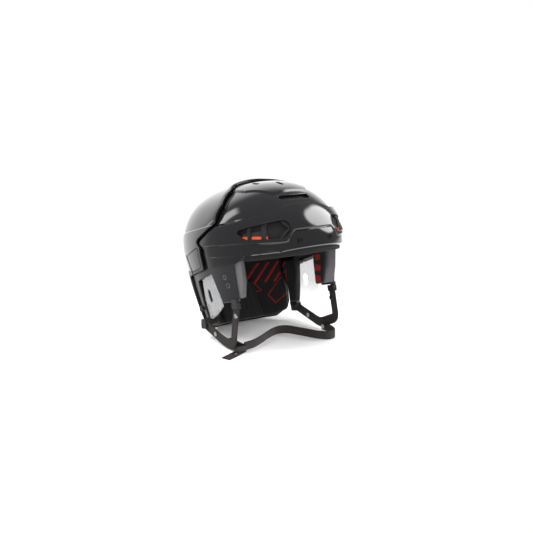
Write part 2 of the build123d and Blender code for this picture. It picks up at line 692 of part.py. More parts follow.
def strap_snaps(side):
    """The snap heads on one side's webbing."""
    face = side * STRAP_X - STRAP_THICKNESS / 2
    heads = [peg((face, y, z), (-1, 0, 0), SNAP_RADIUS, SNAP_HEIGHT) for y, z in STRAP_SNAPS]
    return Part() + heads


def chin_snap():
    """The snap that holds the chin webbing to the left side's webbing."""
    x, y = CHIN_STRAP_ROUTE[-1]
    start = (x - STRAP_THICKNESS / 2 - CLIP_SLOT_CLEARANCE, CHIN_SNAP_PLACE[0], CHIN_SNAP_PLACE[1])
    return peg(start, (-1, 0, 0), SNAP_RADIUS, SNAP_HEIGHT)


def helmet():
    """Every piece by name, where it rests on the floor."""
    parts = {
        "front_shell": front_shell(),
        "rear_shell": rear_shell(),
        "brow_pad": liner_pad(BROW_PAD_SHARES, -SHELL_WALL - LINER_GAP, LINER_DEPTH),
        "crown_pad": liner_pad(CROWN_PAD_SHARES, -TONGUE_DROP - SHELL_WALL - LINER_GAP, CROWN_LINER_DEPTH),
        "rear_liner": liner_pad(REAR_LINER_SHARES, REAR_GAP - LINER_GAP, REAR_LINER_DEPTH),
        "occipital_pad": occipital_pad(),
        "brow_screws": brow_screws(),
        "brow_nuts": brow_nuts(),
    }
    one_side = {
        "latch": latch(),
        "latch_pin": hinge_bar(PIN_RADIUS, PIN_SEAT - LATCH_GAP),
        "latch_track": latch_track(),
        "vent_grille": vent_grille(),
        "vent_pad": vent_pad(),
        "side_pad": side_pad(),
        "temple_pad": temple_pad(),
        "ear_guard": ear_guard(),
        "ear_guard_rivets": ear_guard_rivets(),
        "temple_inserts": temple_inserts(),
        "anchor_screw": anchor_screw(),
        "front_clip": clip(FRONT_CLIP_SHARES),
        "rear_clip": clip(REAR_CLIP_SHARES),
    }
    for name, shape in one_side.items():
        parts["right_" + name] = shape
        parts["left_" + name] = mirrored(shape)
    parts = {name: at_rest(shape) for name, shape in parts.items()}
    under_floor = Pos(0, 0, -CUT_REACH / 2) * Box(2 * CUT_REACH, 2 * CUT_REACH, CUT_REACH)
    parts["rear_shell"] -= under_floor
    routes = {"right": (RIGHT_STRAP_ROUTE, -1), "left": (LEFT_STRAP_ROUTE, 1)}
    for name, (route, side) in routes.items():
        parts[name + "_side_strap"] = side_strap(route, side)
        parts[name + "_strap_snaps"] = strap_snaps(side)
        slot = side_strap(route, side, CLIP_SLOT_CLEARANCE)
        parts[name + "_front_clip"] -= slot
        parts[name + "_rear_clip"] -= slot
    parts["chin_strap"] = chin_strap()
    parts["chin_slider"] = chin_slider()
    parts["chin_tail"] = chin_tail()
    stud = (STUD_PLACE[0], STUD_PLACE[1], TAIL_THICKNESS)
    parts["chin_stud"] = peg(stud, (0, 0, 1), SNAP_RADIUS, SNAP_HEIGHT)
    parts["chin_snap"] = chin_snap()
    return parts


def centred(parts):
    """All pieces moved so that the box round them stands centred on the origin, with the move itself."""
    boxes = [shape.bounding_box() for shape in parts.values()]
    low = [min(getattr(box.min, axis) for box in boxes) for axis in "XYZ"]
    high = [max(getattr(box.max, axis) for box in boxes) for axis in "XYZ"]
    move = Pos(-(low[0] + high[0]) / 2, -(low[1] + high[1]) / 2, -low[2])
    return {name: move * shape for name, shape in parts.items()}, move


pieces, moved = centred(helmet())
print("moved by", moved.position)
for name, shape in pieces.items():
    export_step(shape, os.path.join("parts", name + ".step"))
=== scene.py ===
import json
import math

import bpy
import numpy as np
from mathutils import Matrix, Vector


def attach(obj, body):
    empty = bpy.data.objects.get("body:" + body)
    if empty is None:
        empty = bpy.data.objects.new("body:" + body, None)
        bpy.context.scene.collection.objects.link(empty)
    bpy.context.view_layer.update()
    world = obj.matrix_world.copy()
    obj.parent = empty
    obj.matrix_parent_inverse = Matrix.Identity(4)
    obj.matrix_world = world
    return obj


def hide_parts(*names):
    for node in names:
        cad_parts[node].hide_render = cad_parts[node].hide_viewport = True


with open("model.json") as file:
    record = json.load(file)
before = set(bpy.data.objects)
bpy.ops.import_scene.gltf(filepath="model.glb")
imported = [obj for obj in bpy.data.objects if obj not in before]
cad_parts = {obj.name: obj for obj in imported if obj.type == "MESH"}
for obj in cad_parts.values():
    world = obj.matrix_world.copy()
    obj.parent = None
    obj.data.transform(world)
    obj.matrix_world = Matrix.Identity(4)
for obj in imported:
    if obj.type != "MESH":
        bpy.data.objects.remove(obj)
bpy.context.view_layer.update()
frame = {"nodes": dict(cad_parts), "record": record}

# The helmet's own frame, in millimetres: +X the wearer's left, -Y the front, +Z up
HALF_WIDTH = 99.5
FRONT_REACH = 128.0
REAR_REACH = 138.0
CROWN_HEIGHT = 100.0
ROUNDNESS = 2.35
TILT = math.radians(12.0)
MOVE = np.array([3.22306, -8.34718, 130.0])
MM = 0.001

# Walls, levels and gaps
SHELL_WALL = 2.6
WING_RISE = 4.8
BAND_RISE = 3.0
CROWN_RISE = 2.2
TONGUE_DROP = 2.2
REAR_GAP = 0.5
REAR_WALL = 2.8
REAR_STEP_RISE = 1.0
LIP_RISE = 4.2
SEAM_GAP = 0.6
LINER_GAP = 0.3
GUARD_WALL = 2.0

# Widths of the slopes between the levels, and how far in from its ends a slope has rows of vertices
BAND_SLOPE = 2.4
PANEL_SLOPE = 4.2
STEP_SLOPE = 1.6
TONGUE_SLOPE = 1.0
TONGUE_FADE = 2.0
SEAT_SLOPE = 0.5
SOFT = 0.3
LIP_WIDTH = 4.2
LIP_FADE = 3.0
LIP_LOW_END = 42.0
LIP_LOW_FADE = 16.0

# Rounded edges: their radius, and the rows of vertices that follow them
EDGE_RADIUS = 1.0
EDGE_ROWS = (0.12, 0.45, EDGE_RADIUS)
GUARD_EDGE = 0.7
PAD_ROWS = (0.4, 1.2, 3.0, 5.0)
PAD_BACK_EDGE = 1.2

# Holes, seats and slots
SLOT_HALF_LENGTH = 25.0
SLOT_HALF_HEIGHT = 3.25
SLOT_LEVEL = 71.25
CROWN_VENT_LENGTH = 15.0
CROWN_VENT_WIDTH = 5.5
REAR_VENT_LENGTH = 26.0
REAR_VENT_WIDTH = 7.0
REAR_VENT_TURN = math.radians(35.0)
BROW_SCREW_X = 25.0
BROW_SCREW_LEVEL = 11.0
SCREW_HOLE = 2.5
SCREW_SEAT = 4.2
SEAT_DEPTH = 1.0
INSERT_HOLE = 3.7
LATCH_CLEARANCE = 0.5
BARREL_WIDTH = 5.6
GUARD_SLOT_LENGTH = 20.0
GUARD_SLOT_WIDTH = 12.0
GUARD_SLOT_TURN = math.radians(82.0)
FLOOR_CLEARANCE = 0.2

# What a distance gives well outside and inside its line, and where one side's pieces begin
OUTSIDE = -9.0
INSIDE = 99.0
SIDE_FROM = 20.0

# Foam: how deep each pad reaches inside the dome, the nape pad's sizes and the outer levels
LINER_DEPTH = 17.0
CROWN_DEPTH = 15.0
REAR_DEPTH = 15.0
TEMPLE_DEPTH = 19.0
NAPE_DEPTH = 23.0
NAPE_HALF_WIDTH = 44.0
NAPE_GROOVE_PITCH = 11.0
NAPE_GROOVE_DEPTH = 2.0
VENT_FOAM_OUTER = -1.0
VENT_FOAM_DEPTH = 2.3
UNDER_SHELL = -SHELL_WALL - LINER_GAP
UNDER_TONGUE = UNDER_SHELL - TONGUE_DROP
UNDER_REAR = REAR_GAP - LINER_GAP

# Webbing: its widths and levels, and how far before a corner it starts to bend
STRAP_WIDTH = 15.0
CHIN_WIDTH = 13.0
WEBBING_THICK = 1.6
CHIN_LEVEL = 6.5
TAIL_LEVEL = 0.9
STRAP_X = 86.0
SIDE_BEND = 9.0
CHIN_BEND = 14.0
TAIL_BEND = 8.0

# Rows of the dome: height, half width, front reach, rear reach, lean
DOME_SHARES = np.array([
    (-1.20, 0.835, 0.720, 0.650, 0.00),
    (-0.95, 0.875, 0.805, 0.770, 0.00),
    (-0.70, 0.915, 0.890, 0.855, 0.00),
    (-0.40, 0.950, 0.953, 0.928, 0.00),
    (-0.10, 0.980, 0.992, 0.978, 0.00),
    (0.10, 1.000, 1.000, 1.000, 0.00),
    (0.35, 0.985, 0.953, 0.986, 0.08),
    (0.55, 0.915, 0.852, 0.920, 0.35),
    (0.72, 0.794, 0.727, 0.826, 0.60),
    (0.86, 0.603, 0.578, 0.688, 0.82),
    (0.95, 0.382, 0.390, 0.493, 0.94),
    (0.985, 0.210, 0.215, 0.270, 0.98),
    (0.998, 0.080, 0.094, 0.116, 1.00),
    (1.000, 0.004, 0.004, 0.004, 1.00),
])

# Outlines and places in the side view, as shares of the front reach and the crown's height
FRONT_COVER = (
    (0.375, 1.30), (0.375, -0.19), (0.575, -0.21), (0.56, -0.43), (0.475, -0.66), (0.44, -0.97),
    (0.34, -0.97), (0.36, -0.34), (-0.02, -0.23), (-0.135, -0.66), (-0.41, -0.635), (-0.425, -0.35),
    (-0.44, -0.13), (-0.61, -0.03), (-0.90, -0.03), (-1.03, 0.0), (-1.30, 0.0), (-1.30, 1.30),
)
WING = (
    (0.11, 0.24), (-0.24, 0.45), (-0.50, 0.48), (-0.79, 0.545), (-0.80, 0.62), (-1.20, 0.62),
    (-1.20, 0.075), (-0.905, 0.08), (-0.61, 0.12), (0.03, 0.14),
)
BAND = (
    (0.06, 0.18), (-0.10, -0.01), (-0.585, -0.03), (-0.90, -0.03), (-1.03, 0.0), (-1.20, 0.0),
    (-1.20, 0.28), (-0.50, 0.22),
)
REAR_COVER = (
    (0.17, 1.30), (0.17, 1.12), (0.12, 1.03), (0.047, 1.02), (-0.17, 0.87), (-0.26, 0.68),
    (-0.235, 0.47), (0.125, 0.26), (0.118, 0.22), (0.07, 0.16), (0.07, -0.17), (0.45, -0.25),
    (0.5625, -0.27), (0.516, -0.60), (0.47, -0.90), (0.48, -0.99), (0.58, -1.12), (1.30, -1.17),
    (1.30, 1.30),
)
REAR_STEP = ((-0.30, 0.465), (0.26, 0.41), (1.30, 0.33), (1.30, -1.30), (-0.30, -1.30))
LATCH = ((0.12, 0.155), (0.47, 0.035), (0.39, -0.19), (0.12, -0.13))
HINGE = ((0.47, 0.035), (0.39, -0.19))
VENT = (
    (-0.54, 0.32), (-0.61, 0.345), (-0.88, 0.41), (-1.10, 0.46), (-1.10, 0.14), (-0.92, 0.165),
    (-0.64, 0.205),
)
GUARD = (
    (0.275, -0.262), (0.05, -0.212), (0.03, -0.20), (-0.09, -0.16), (-0.09, -0.35), (-0.08, -0.72),
    (0.10, -0.84), (0.28, -0.92), (0.34, -0.93), (0.33, -0.60),
)
GUARD_SLOT = (0.175, -0.565)
INSERTS = ((-0.266, -0.29), (-0.297, -0.41))
ANCHOR = (0.40, -0.76)

# Outlines from the front and places from behind, as shares of the half width and the crown's height
VENT_NOSE = (
    (0.345, 0.35), (0.345, 0.26), (0.46, 0.165), (0.60, 0.05), (1.30, 0.05), (1.30, 0.60), (0.60, 0.60),
    (0.40, 0.41),
)
BROW_RECESS = ((-0.45, -0.20), (-0.41, 0.085), (-0.29, 0.235), (0.29, 0.235), (0.41, 0.085), (0.45, -0.20))
REAR_VENTS = ((0.30, 0.42), (0.30, 0.12))

# The crown from above, as shares of the half width and the front reach, and the levels it starts at
CROWN_FIELD = ((-0.31, -0.66), (0.31, -0.66), (0.54, -0.37), (0.60, 0.30), (-0.60, 0.30), (-0.54, -0.37))
CROWN_VENTS = ((0.0, -0.47), (0.26, -0.30), (-0.26, -0.30))
CROWN_FIELD_ABOVE = 20.0
CROWN_VENTS_ABOVE = 50.0

# Pads in the side view
BROW_PAD = ((-1.30, -0.085), (-0.60, -0.095), (-0.545, -0.05), (-0.545, 0.58), (-1.30, 0.58))
SIDE_PAD = (
    (-0.525, 0.58), (-0.525, -0.02), (-0.18, -0.13), (0.262, -0.20), (0.27, -0.90), (0.41, -0.90),
    (0.455, -0.66), (0.54, -0.43), (0.555, -0.24), (0.355, -0.21), (0.355, 0.58),
)
VENT_PAD = ((-0.60, 0.28), (-0.82, 0.30), (-0.84, 0.15), (-0.60, 0.18))
TEMPLE_PAD = (
    (-0.54, -0.07), (-0.515, -0.37), (-0.445, -0.60), (-0.215, -0.62), (-0.165, -0.27), (-0.19, -0.155),
)
CROWN_PAD = ((-0.75, 0.61), (0.355, 0.61), (0.355, 1.30), (-0.75, 1.30))
REAR_LINER = (
    (0.395, 1.30), (0.395, -0.15), (0.60, -0.17), (0.595, -0.43), (0.51, -0.66), (0.465, -0.97),
    (0.48, -1.02), (0.60, -1.085), (1.30, -1.13), (1.30, 1.30),
)
NAPE_PAD = ((0.45, -0.50), (1.30, -0.50), (1.30, -1.13), (0.45, -1.05))

# The webbing's routes as they lie: the side straps from the side, the chin strap and its tail from above
RIGHT_ROUTE = ((-58.0, 70.0), (-49.0, 9.5), (-24.0, 9.5), (29.0, 22.0))
LEFT_ROUTE = ((-58.0, 70.0), (-69.0, 27.0), (-32.0, 9.5), (29.0, 22.0))
CHIN_ROUTE = (
    (-69.8, -52.0), (-52.0, -50.0), (-30.0, -39.0), (-8.0, -25.0), (14.0, -16.0), (29.0, -21.0),
    (39.0, -44.0), (50.0, -71.0), (61.0, -83.0), (74.0, -82.0), (82.2, -70.0), (84.1, -56.0), (84.2, -38.0),
)
TAIL_ROUTE = ((-73.0, -51.5), (-88.0, -58.0), (-98.0, -62.5), (-111.0, -67.5))
SHIFT = MOVE * [1.0, 1.0, 0.0]


def spline_rows(rows):
    """Natural cubic curves through the dome's rows, against the distance along them."""
    steps = np.diff(rows[:, :4] * [CROWN_HEIGHT, HALF_WIDTH, FRONT_REACH, REAR_REACH], axis=0)
    knots = np.concatenate([[0.0], np.cumsum(np.linalg.norm(steps, axis=1))])
    gaps = np.diff(knots)
    n = len(knots)
    system = np.eye(n)
    right = np.zeros((n, rows.shape[1]))
    for k in range(1, n - 1):
        system[k, k - 1:k + 2] = gaps[k - 1], 2 * (gaps[k - 1] + gaps[k]), gaps[k]
        right[k] = 6 * ((rows[k + 1] - rows[k]) / gaps[k] - (rows[k] - rows[k - 1]) / gaps[k - 1])
    return knots, gaps, np.linalg.solve(system, right)


KNOTS, GAPS, BENDS = spline_rows(DOME_SHARES)
POLE = KNOTS[-1] - 0.4
LEAST_RADIUS = 0.05


def dome_row(t):
    """The five row values at distances t along the rows."""
    k = np.clip(np.searchsorted(KNOTS, t, side="right") - 1, 0, len(GAPS) - 1)
    h = GAPS[k][:, None]
    a = (KNOTS[k + 1] - t)[:, None] / h
    b = 1.0 - a
    curve = (a ** 3 - a) * BENDS[k] + (b ** 3 - b) * BENDS[k + 1]
    return a * DOME_SHARES[k] + b * DOME_SHARES[k + 1] + curve * h ** 2 / 6


def dome(turn, t, grow):
    """Points of the dome: at each level an oval, where the sum of the shares across and along, each raised to
    ROUNDNESS, is one. They are moved outwards by grow, sideways and up by how far the wall leans."""
    height, half, front, rear, lean = dome_row(t).T
    lean = np.clip(lean, 0.0, 1.0)
    outward = grow * np.sqrt(1.0 - lean ** 2)
    ahead, aside = np.cos(turn), np.sin(turn)
    reach = np.where(ahead > 0, front * FRONT_REACH, rear * REAR_REACH)
    across = np.abs(aside / np.maximum(half * HALF_WIDTH + outward, LEAST_RADIUS)) ** ROUNDNESS
    along = np.abs(ahead / np.maximum(reach + outward, LEAST_RADIUS)) ** ROUNDNESS
    size = (across + along) ** (-1.0 / ROUNDNESS)
    return np.column_stack([size * aside, -size * ahead, height * CROWN_HEIGHT + grow * lean])


def tilted(directions):
    """Own frame's directions in the row's frame."""
    x, y, z = directions.T
    c, s = math.cos(TILT), math.sin(TILT)
    return np.column_stack([x, c * y + s * z, c * z - s * y])


def at_rest(points):
    """Own frame in millimetres to the row's frame in metres."""
    return (tilted(points) + MOVE) * MM


def unit(directions):
    """Directions with a length of one."""
    return directions / np.maximum(np.linalg.norm(directions, axis=1), 1e-9)[:, None]


def polygon_distance(u, v, points):
    """Signed distance to a polygon in a plane, positive inside."""
    best = np.full(u.shape, 1e9)
    inside = np.zeros(u.shape, bool)
    for (ax, ay), (bx, by) in zip(points, np.roll(points, -1, axis=0)):
        dx, dy = bx - ax, by - ay
        s = np.clip(((u - ax) * dx + (v - ay) * dy) / (dx * dx + dy * dy), 0.0, 1.0)
        best = np.minimum(best, np.hypot(u - ax - s * dx, v - ay - s * dy))
        crosses = (ay > v) != (by > v)
        with np.errstate(divide="ignore", invalid="ignore"):
            where = ax + (v - ay) * dx / (dy if dy else 1e-12)
        inside ^= crosses & (u < where)
    return np.where(inside, best, -best)


def side_distance(p, shares):
    """Distance into a side view outline."""
    return polygon_distance(p[:, 1], p[:, 2], np.asarray(shares) * [FRONT_REACH, CROWN_HEIGHT])


def front_distance(x, z, shares):
    """Distance into an outline from the front."""
    return polygon_distance(x, z, np.asarray(shares) * [HALF_WIDTH, CROWN_HEIGHT])


def capsule(u, v, centre, length, width, angle):
    """Distance into a slot with round ends: half its width less the distance to its middle line."""
    half = (length - width) / 2
    du, dv = math.cos(angle), math.sin(angle)
    u, v = u - centre[0], v - centre[1]
    s = np.clip(u * du + v * dv, -half, half)
    return width / 2 - np.hypot(u - s * du, v - s * dv)


def distance_to_segments(points, ends, block=1500):
    """The least distance from each point to a set of straight segments, in blocks of points."""
    start, end = ends
    along = end - start
    square = np.maximum((along * along).sum(1), 1e-12)
    best = np.empty(len(points))
    for first in range(0, len(points), block):
        offset = points[first:first + block, None, :] - start[None]
        share = np.clip((offset * along[None]).sum(2) / square, 0.0, 1.0)
        offset -= share[:, :, None] * along[None]
        best[first:first + block] = np.sqrt((offset * offset).sum(2).min(1))
    return best


class Patch:
    """A piece of the dome as triangles over (turn, distance along the rows), with distances to its lines."""

    # Distances are kept up to this, and vertices further out than the margin go before a cut
    REACH = 9.0
    MARGIN = 12.0

    def __init__(self, columns, spacing, high_t=POLE):
        count = int(high_t / spacing)
        turns, levels = np.meshgrid(
            np.linspace(0.0, 2 * math.pi, columns, endpoint=False), np.linspace(0.0, high_t, count),
        )
        self.turn = turns.ravel()
        self.t = levels.ravel()
        self.fields = {}
        self.lines = {}
        k = np.arange(count - 1)[:, None] * columns
        j = np.arange(columns)[None, :]
        a, b = (k + j).ravel(), (k + (j + 1) % columns).ravel()
        c, d = b + columns, a + columns
        self.tris = np.concatenate([np.column_stack([a, b, c]), np.column_stack([a, c, d])])

    def points(self):
        """The vertices on the plain dome."""
        return dome(self.turn, self.t, 0.0)

    def upright(self, turn_step=0.001, row_step=0.1):
        """Unit directions straight out of the plain dome."""
        across = dome(self.turn + turn_step, self.t, 0.0) - dome(self.turn - turn_step, self.t, 0.0)
        up = dome(self.turn, self.t + row_step, 0.0) - dome(self.turn, self.t - row_step, 0.0)
        return unit(np.cross(across, up))

    def towards(self, name, chosen, upright, step=0.12):
        """Unit directions along the surface in which a distance grows, at the chosen vertices."""
        points, out = self.points()[chosen], upright[chosen]
        distance = self.lines[name]
        ways = step * np.eye(3)
        growth = np.column_stack([distance(points + way) - distance(points - way) for way in ways])
        return unit(growth - (growth * out).sum(1)[:, None] * out)

    def split(self, values):
        """Cuts every triangle that the zero line of values crosses, and gives the line's pieces."""
        corner = (values > 0)[self.tris]
        mixed = corner.any(1) & ~corner.all(1)
        tris = self.tris[mixed]
        flags = corner[mixed]
        lone_value = flags.sum(1) == 1
        lone = np.argmax(flags == lone_value[:, None], axis=1)
        rows = np.arange(len(tris))
        a, b, c = (tris[rows, (lone + k) % 3] for k in range(3))
        pairs = np.concatenate([np.column_stack([a, b]), np.column_stack([a, c])])
        keys, place = np.unique(np.sort(pairs, axis=1), axis=0, return_inverse=True)
        place = place.ravel()
        p, q = keys.T
        s = np.clip(values[p] / (values[p] - values[q]), 0.002, 0.998)
        gap = (self.turn[q] - self.turn[p] + math.pi) % (2 * math.pi) - math.pi
        first = len(self.turn)
        self.turn = np.concatenate([self.turn, self.turn[p] + s * gap])
        self.t = np.concatenate([self.t, self.t[p] + s * (self.t[q] - self.t[p])])
        for name, field in self.fields.items():
            self.fields[name] = np.concatenate([field, field[p] + s * (field[q] - field[p])])
        ab, ac = first + place[:len(a)], first + place[len(a):]
        fresh = [np.column_stack([a, ab, ac]), np.column_stack([ab, b, c]), np.column_stack([ab, c, ac])]
        self.tris = np.concatenate([self.tris[~mixed]] + fresh)
        points = self.points()
        return points[ab], points[ac]

    def measure(self, name, distance, rows=()):
        """Cuts along a distance's zero line, keeps the distance to that line on the surface itself under a
        name, and adds rows of vertices at the given distances from it."""
        ends = self.split(distance(self.points()))
        self.spread(name, distance, ends)
        for row in rows:
            self.split(self.fields[name] - row)

    def spread(self, name, distance, ends):
        """Keeps the signed distance to a line's pieces under a name."""
        self.lines[name] = distance
        points = self.points()
        flat = distance(points)
        near = np.abs(flat) < self.REACH
        far = np.full(len(flat), self.REACH)
        if len(ends[0]):
            far[near] = np.minimum(distance_to_segments(points[near], ends), self.REACH)
        self.fields[name] = np.where(flat > 0, far, -far)

    def trim(self, distance, rows):
        """Cuts along a distance's zero line, keeps the inside and adds rows at the given distances in."""
        close = distance(self.points()) > -self.MARGIN
        self.tris = self.tris[close[self.tris].any(1)]
        self.drop_unused()
        ends = self.split(distance(self.points()))
        middle = distance(self.points())[self.tris].mean(1)
        self.tris = self.tris[middle > 0]
        self.drop_unused()
        self.spread("edge", distance, ends)
        self.fields["edge"] = np.maximum(self.fields["edge"], 0.0)
        for row in rows:
            self.split(self.fields["edge"] - row)

    def drop_unused(self):
        """Drops the vertices that no triangle uses."""
        used, place = np.unique(self.tris, return_inverse=True)
        self.turn, self.t = self.turn[used], self.t[used]
        self.fields = {name: field[used] for name, field in self.fields.items()}
        self.tris = place.reshape(-1, 3)


def lean(patch, level, radius, step=0.05):
    """Directions out of the raised surface: the dome's own, leaned back from each line's slope, and turned
    outwards round the edge, whose section is a quarter circle."""
    upright = patch.upright()
    out = upright.copy()
    fields = patch.fields
    here = level(fields)
    for name in fields:
        ahead = (level({**fields, name: fields[name] + step}) - here) / step
        behind = (here - level({**fields, name: fields[name] - step})) / step
        slope = np.where(ahead * behind > 0, np.sign(ahead) * np.minimum(np.abs(ahead), np.abs(behind)), 0.0)
        chosen = np.abs(slope) > 0.01
        if chosen.any():
            out[chosen] -= slope[chosen, None] * patch.towards(name, chosen, upright)
    out = unit(out)
    sine = np.clip(1.0 - fields["edge"] / radius, 0.0, 1.0)[:, None]
    chosen = sine[:, 0] > 0.01
    away = np.zeros_like(out)
    away[chosen] = -patch.towards("edge", chosen, upright)
    return unit(np.sqrt(1.0 - sine ** 2) * out + sine * away)


def closed_mesh(name, patch, outer, inner, out=None):
    """A solid wall: the patch at its outer and its inner distance, joined round the edge. The outer side is
    shaded by the directions out, where they are given."""
    n = len(patch.turn)
    tris = patch.tris
    edges = np.concatenate([tris[:, [0, 1]], tris[:, [1, 2]], tris[:, [2, 0]]])
    key = np.sort(edges, axis=1)
    order = np.lexsort((key[:, 1], key[:, 0]))
    same = (key[order][1:] == key[order][:-1]).all(1)
    single = np.ones(len(key), bool)
    single[1:] &= ~same
    single[:-1] &= ~same
    a, b = edges[order[single]].T
    wall = np.concatenate([np.column_stack([b, a, a + n]), np.column_stack([b, a + n, b + n])])
    points = np.concatenate([dome(patch.turn, patch.t, outer), dome(patch.turn, patch.t, inner)])
    faces = np.concatenate([tris, tris[:, ::-1] + n, wall])
    piece = mesh_object(name, at_rest(points), faces, points)
    if out is not None:
        piece.data.normals_split_custom_set_from_vertices(np.concatenate([tilted(out), np.zeros((n, 3))]))
    return piece


def mesh_object(name, points, faces, own=None, smooth_angle=40.0):
    """An object from points in metres and its faces, with the own-frame places as an attribute."""
    mesh = bpy.data.meshes.new(name)
    count, corners = faces.shape
    mesh.vertices.add(len(points))
    mesh.vertices.foreach_set("co", np.ascontiguousarray(points, np.float32).ravel())
    mesh.loops.add(count * corners)
    mesh.loops.foreach_set("vertex_index", np.ascontiguousarray(faces, np.int32).ravel())
    mesh.polygons.add(count)
    mesh.polygons.foreach_set("loop_start", np.arange(count, dtype=np.int32) * corners)
    mesh.update(calc_edges=True)
    mesh.validate()
    mesh.shade_smooth()
    mesh.set_sharp_from_angle(angle=math.radians(smooth_angle))
    if own is not None:
        layer = mesh.attributes.new("own", "FLOAT_VECTOR", "POINT")
        layer.data.foreach_set("vector", np.ascontiguousarray(own, np.float32).ravel())
    piece = bpy.data.objects.new(name, mesh)
    bpy.context.scene.collection.objects.link(piece)
    return piece


def ramp(distance, width):
    """From 0 at the line to 1 a width inside it, rounded at both ends."""
    s = np.clip(distance / width, 0.0, 1.0)
    return s * s * (3 - 2 * s)


def facet(distance, width):
    """From 0 at the line to 1 a width inside it, as one flat slope."""
    return np.clip(distance / width, 0.0, 1.0)


def slope_rows(width):
    """The rows of vertices along a flat slope: just inside both its ends, and its upper end."""
    return SOFT, width - SOFT, width


def rounded(distance, radius):
    """How far an edge of that radius has dropped, by the distance in from it."""
    s = np.clip(1.0 - distance / radius, 0.0, 1.0)
    return radius * (1.0 - np.sqrt(1.0 - s * s))


def brow_slot(p):
    """Distance into the brow slot, a rectangle from the front: the less of those to its ends and sides."""
    flat = np.minimum(SLOT_HALF_LENGTH - np.abs(p[:, 0]), SLOT_HALF_HEIGHT - np.abs(p[:, 2] - SLOT_LEVEL))
    return np.where(p[:, 1] < 0, flat, OUTSIDE)


def side_vents(p):
    """Distance into the side windows: the less of those into both of their outlines."""
    nose = front_distance(np.abs(p[:, 0]), p[:, 2], VENT_NOSE)
    return np.where(p[:, 1] < 0, np.minimum(side_distance(p, VENT), nose), OUTSIDE)


def crown_vents(p):
    """Distance into the crown's slots from above: the most of those into each."""
    best = np.full(len(p), OUTSIDE)
    for x, y in CROWN_VENTS:
        centre = (x * HALF_WIDTH, y * FRONT_REACH)
        hole = capsule(p[:, 0], p[:, 1], centre, CROWN_VENT_LENGTH, CROWN_VENT_WIDTH, math.pi / 2)
        best = np.maximum(best, hole)
    return np.where(p[:, 2] > CROWN_VENTS_ABOVE, best, OUTSIDE)


def side_hole(place, radius):
    """A round hole through both sides."""
    def distance(p):
        return radius - np.hypot(p[:, 1] - place[0] * FRONT_REACH, p[:, 2] - place[1] * CROWN_HEIGHT)
    return distance


def brow_screws(radius):
    """Round places at the two brow screws."""
    def distance(p):
        flat = radius - np.hypot(np.abs(p[:, 0]) - BROW_SCREW_X, p[:, 2] - BROW_SCREW_LEVEL)
        return np.where(p[:, 1] < 0, flat, OUTSIDE)
    return distance


def seam(p):
    """Distance into the tongue: the rear shell's outline from the side, a gap larger."""
    return rear_outline(p) + SEAM_GAP


def band(p):
    """Distance into the brow band's outline from the side."""
    return side_distance(p, BAND)


def wing(p):
    """Distance into the wing: its outline from the side, less the brow's recess from the front."""
    recess = front_distance(p[:, 0], p[:, 2], BROW_RECESS)
    return np.minimum(side_distance(p, WING), np.where(p[:, 1] < 0, -recess, INSIDE))


def crown(p):
    """Distance into the crown field's outline from above."""
    flat = polygon_distance(p[:, 0], p[:, 1], np.asarray(CROWN_FIELD) * [HALF_WIDTH, FRONT_REACH])
    return np.where(p[:, 2] > CROWN_FIELD_ABOVE, flat, OUTSIDE)


def front_edge(p):
    """Distance in from the front shell's outline and from its holes."""
    holes = [brow_slot, side_vents, crown_vents, brow_screws(SCREW_HOLE), side_hole(ANCHOR, SCREW_HOLE)]
    holes += [side_hole(place, INSERT_HOLE) for place in INSERTS]
    best = side_distance(p, FRONT_COVER)
    for hole in holes:
        best = np.minimum(best, -hole(p))
    return best


def front_level(fields):
    """The front shell's height over the dome: the highest of the band, wing and crown field, each a flat
    slope from its line, with the tongue and the screws' seats let in."""
    clear = 1.0 - ramp(fields["seam"] + TONGUE_FADE, TONGUE_FADE)
    band_rise = BAND_RISE * facet(fields["band"], BAND_SLOPE)
    wing_rise = WING_RISE * facet(fields["wing"], PANEL_SLOPE)
    crown_rise = CROWN_RISE * facet(fields["crown"], PANEL_SLOPE) * clear
    rise = np.maximum.reduce([band_rise, wing_rise, crown_rise])
    drop = TONGUE_DROP * ramp(fields["seam"], TONGUE_SLOPE) + SEAT_DEPTH * ramp(fields["seat"], SEAT_SLOPE)
    return rise * clear - drop


def front_shell():
    """The front shell as one wall over the dome. Its outer side is the dome raised by front_level, less a
    quarter circle along its edges, and its inner side is one wall below that level."""
    patch = Patch(columns=270, spacing=3.0)
    patch.trim(front_edge, EDGE_ROWS)
    patch.measure("seam", seam, (0.4, TONGUE_SLOPE, -TONGUE_FADE))
    patch.measure("band", band, slope_rows(BAND_SLOPE))
    patch.measure("wing", wing, slope_rows(PANEL_SLOPE))
    patch.measure("crown", crown, slope_rows(PANEL_SLOPE))
    patch.measure("seat", brow_screws(SCREW_SEAT), (SEAT_SLOPE,))
    patch.drop_unused()
    level = front_level(patch.fields)
    outer = level - rounded(patch.fields["edge"], EDGE_RADIUS)
    out = lean(patch, front_level, EDGE_RADIUS)
    piece = closed_mesh("front_shell_skin", patch, outer, level - SHELL_WALL, out)
    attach(piece, "front")
    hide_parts("front_shell")
    return piece


def latch_window(p):
    """Distance into the latch's window with the round channel of its hinge."""
    hole = side_distance(p, LATCH) + LATCH_CLEARANCE
    start, end = np.asarray(HINGE) * [FRONT_REACH, CROWN_HEIGHT]
    length = math.dist(start, end) + BARREL_WIDTH
    turn = math.atan2(end[1] - start[1], end[0] - start[0])
    return np.maximum(hole, capsule(p[:, 1], p[:, 2], (start + end) / 2, length, BARREL_WIDTH, turn))


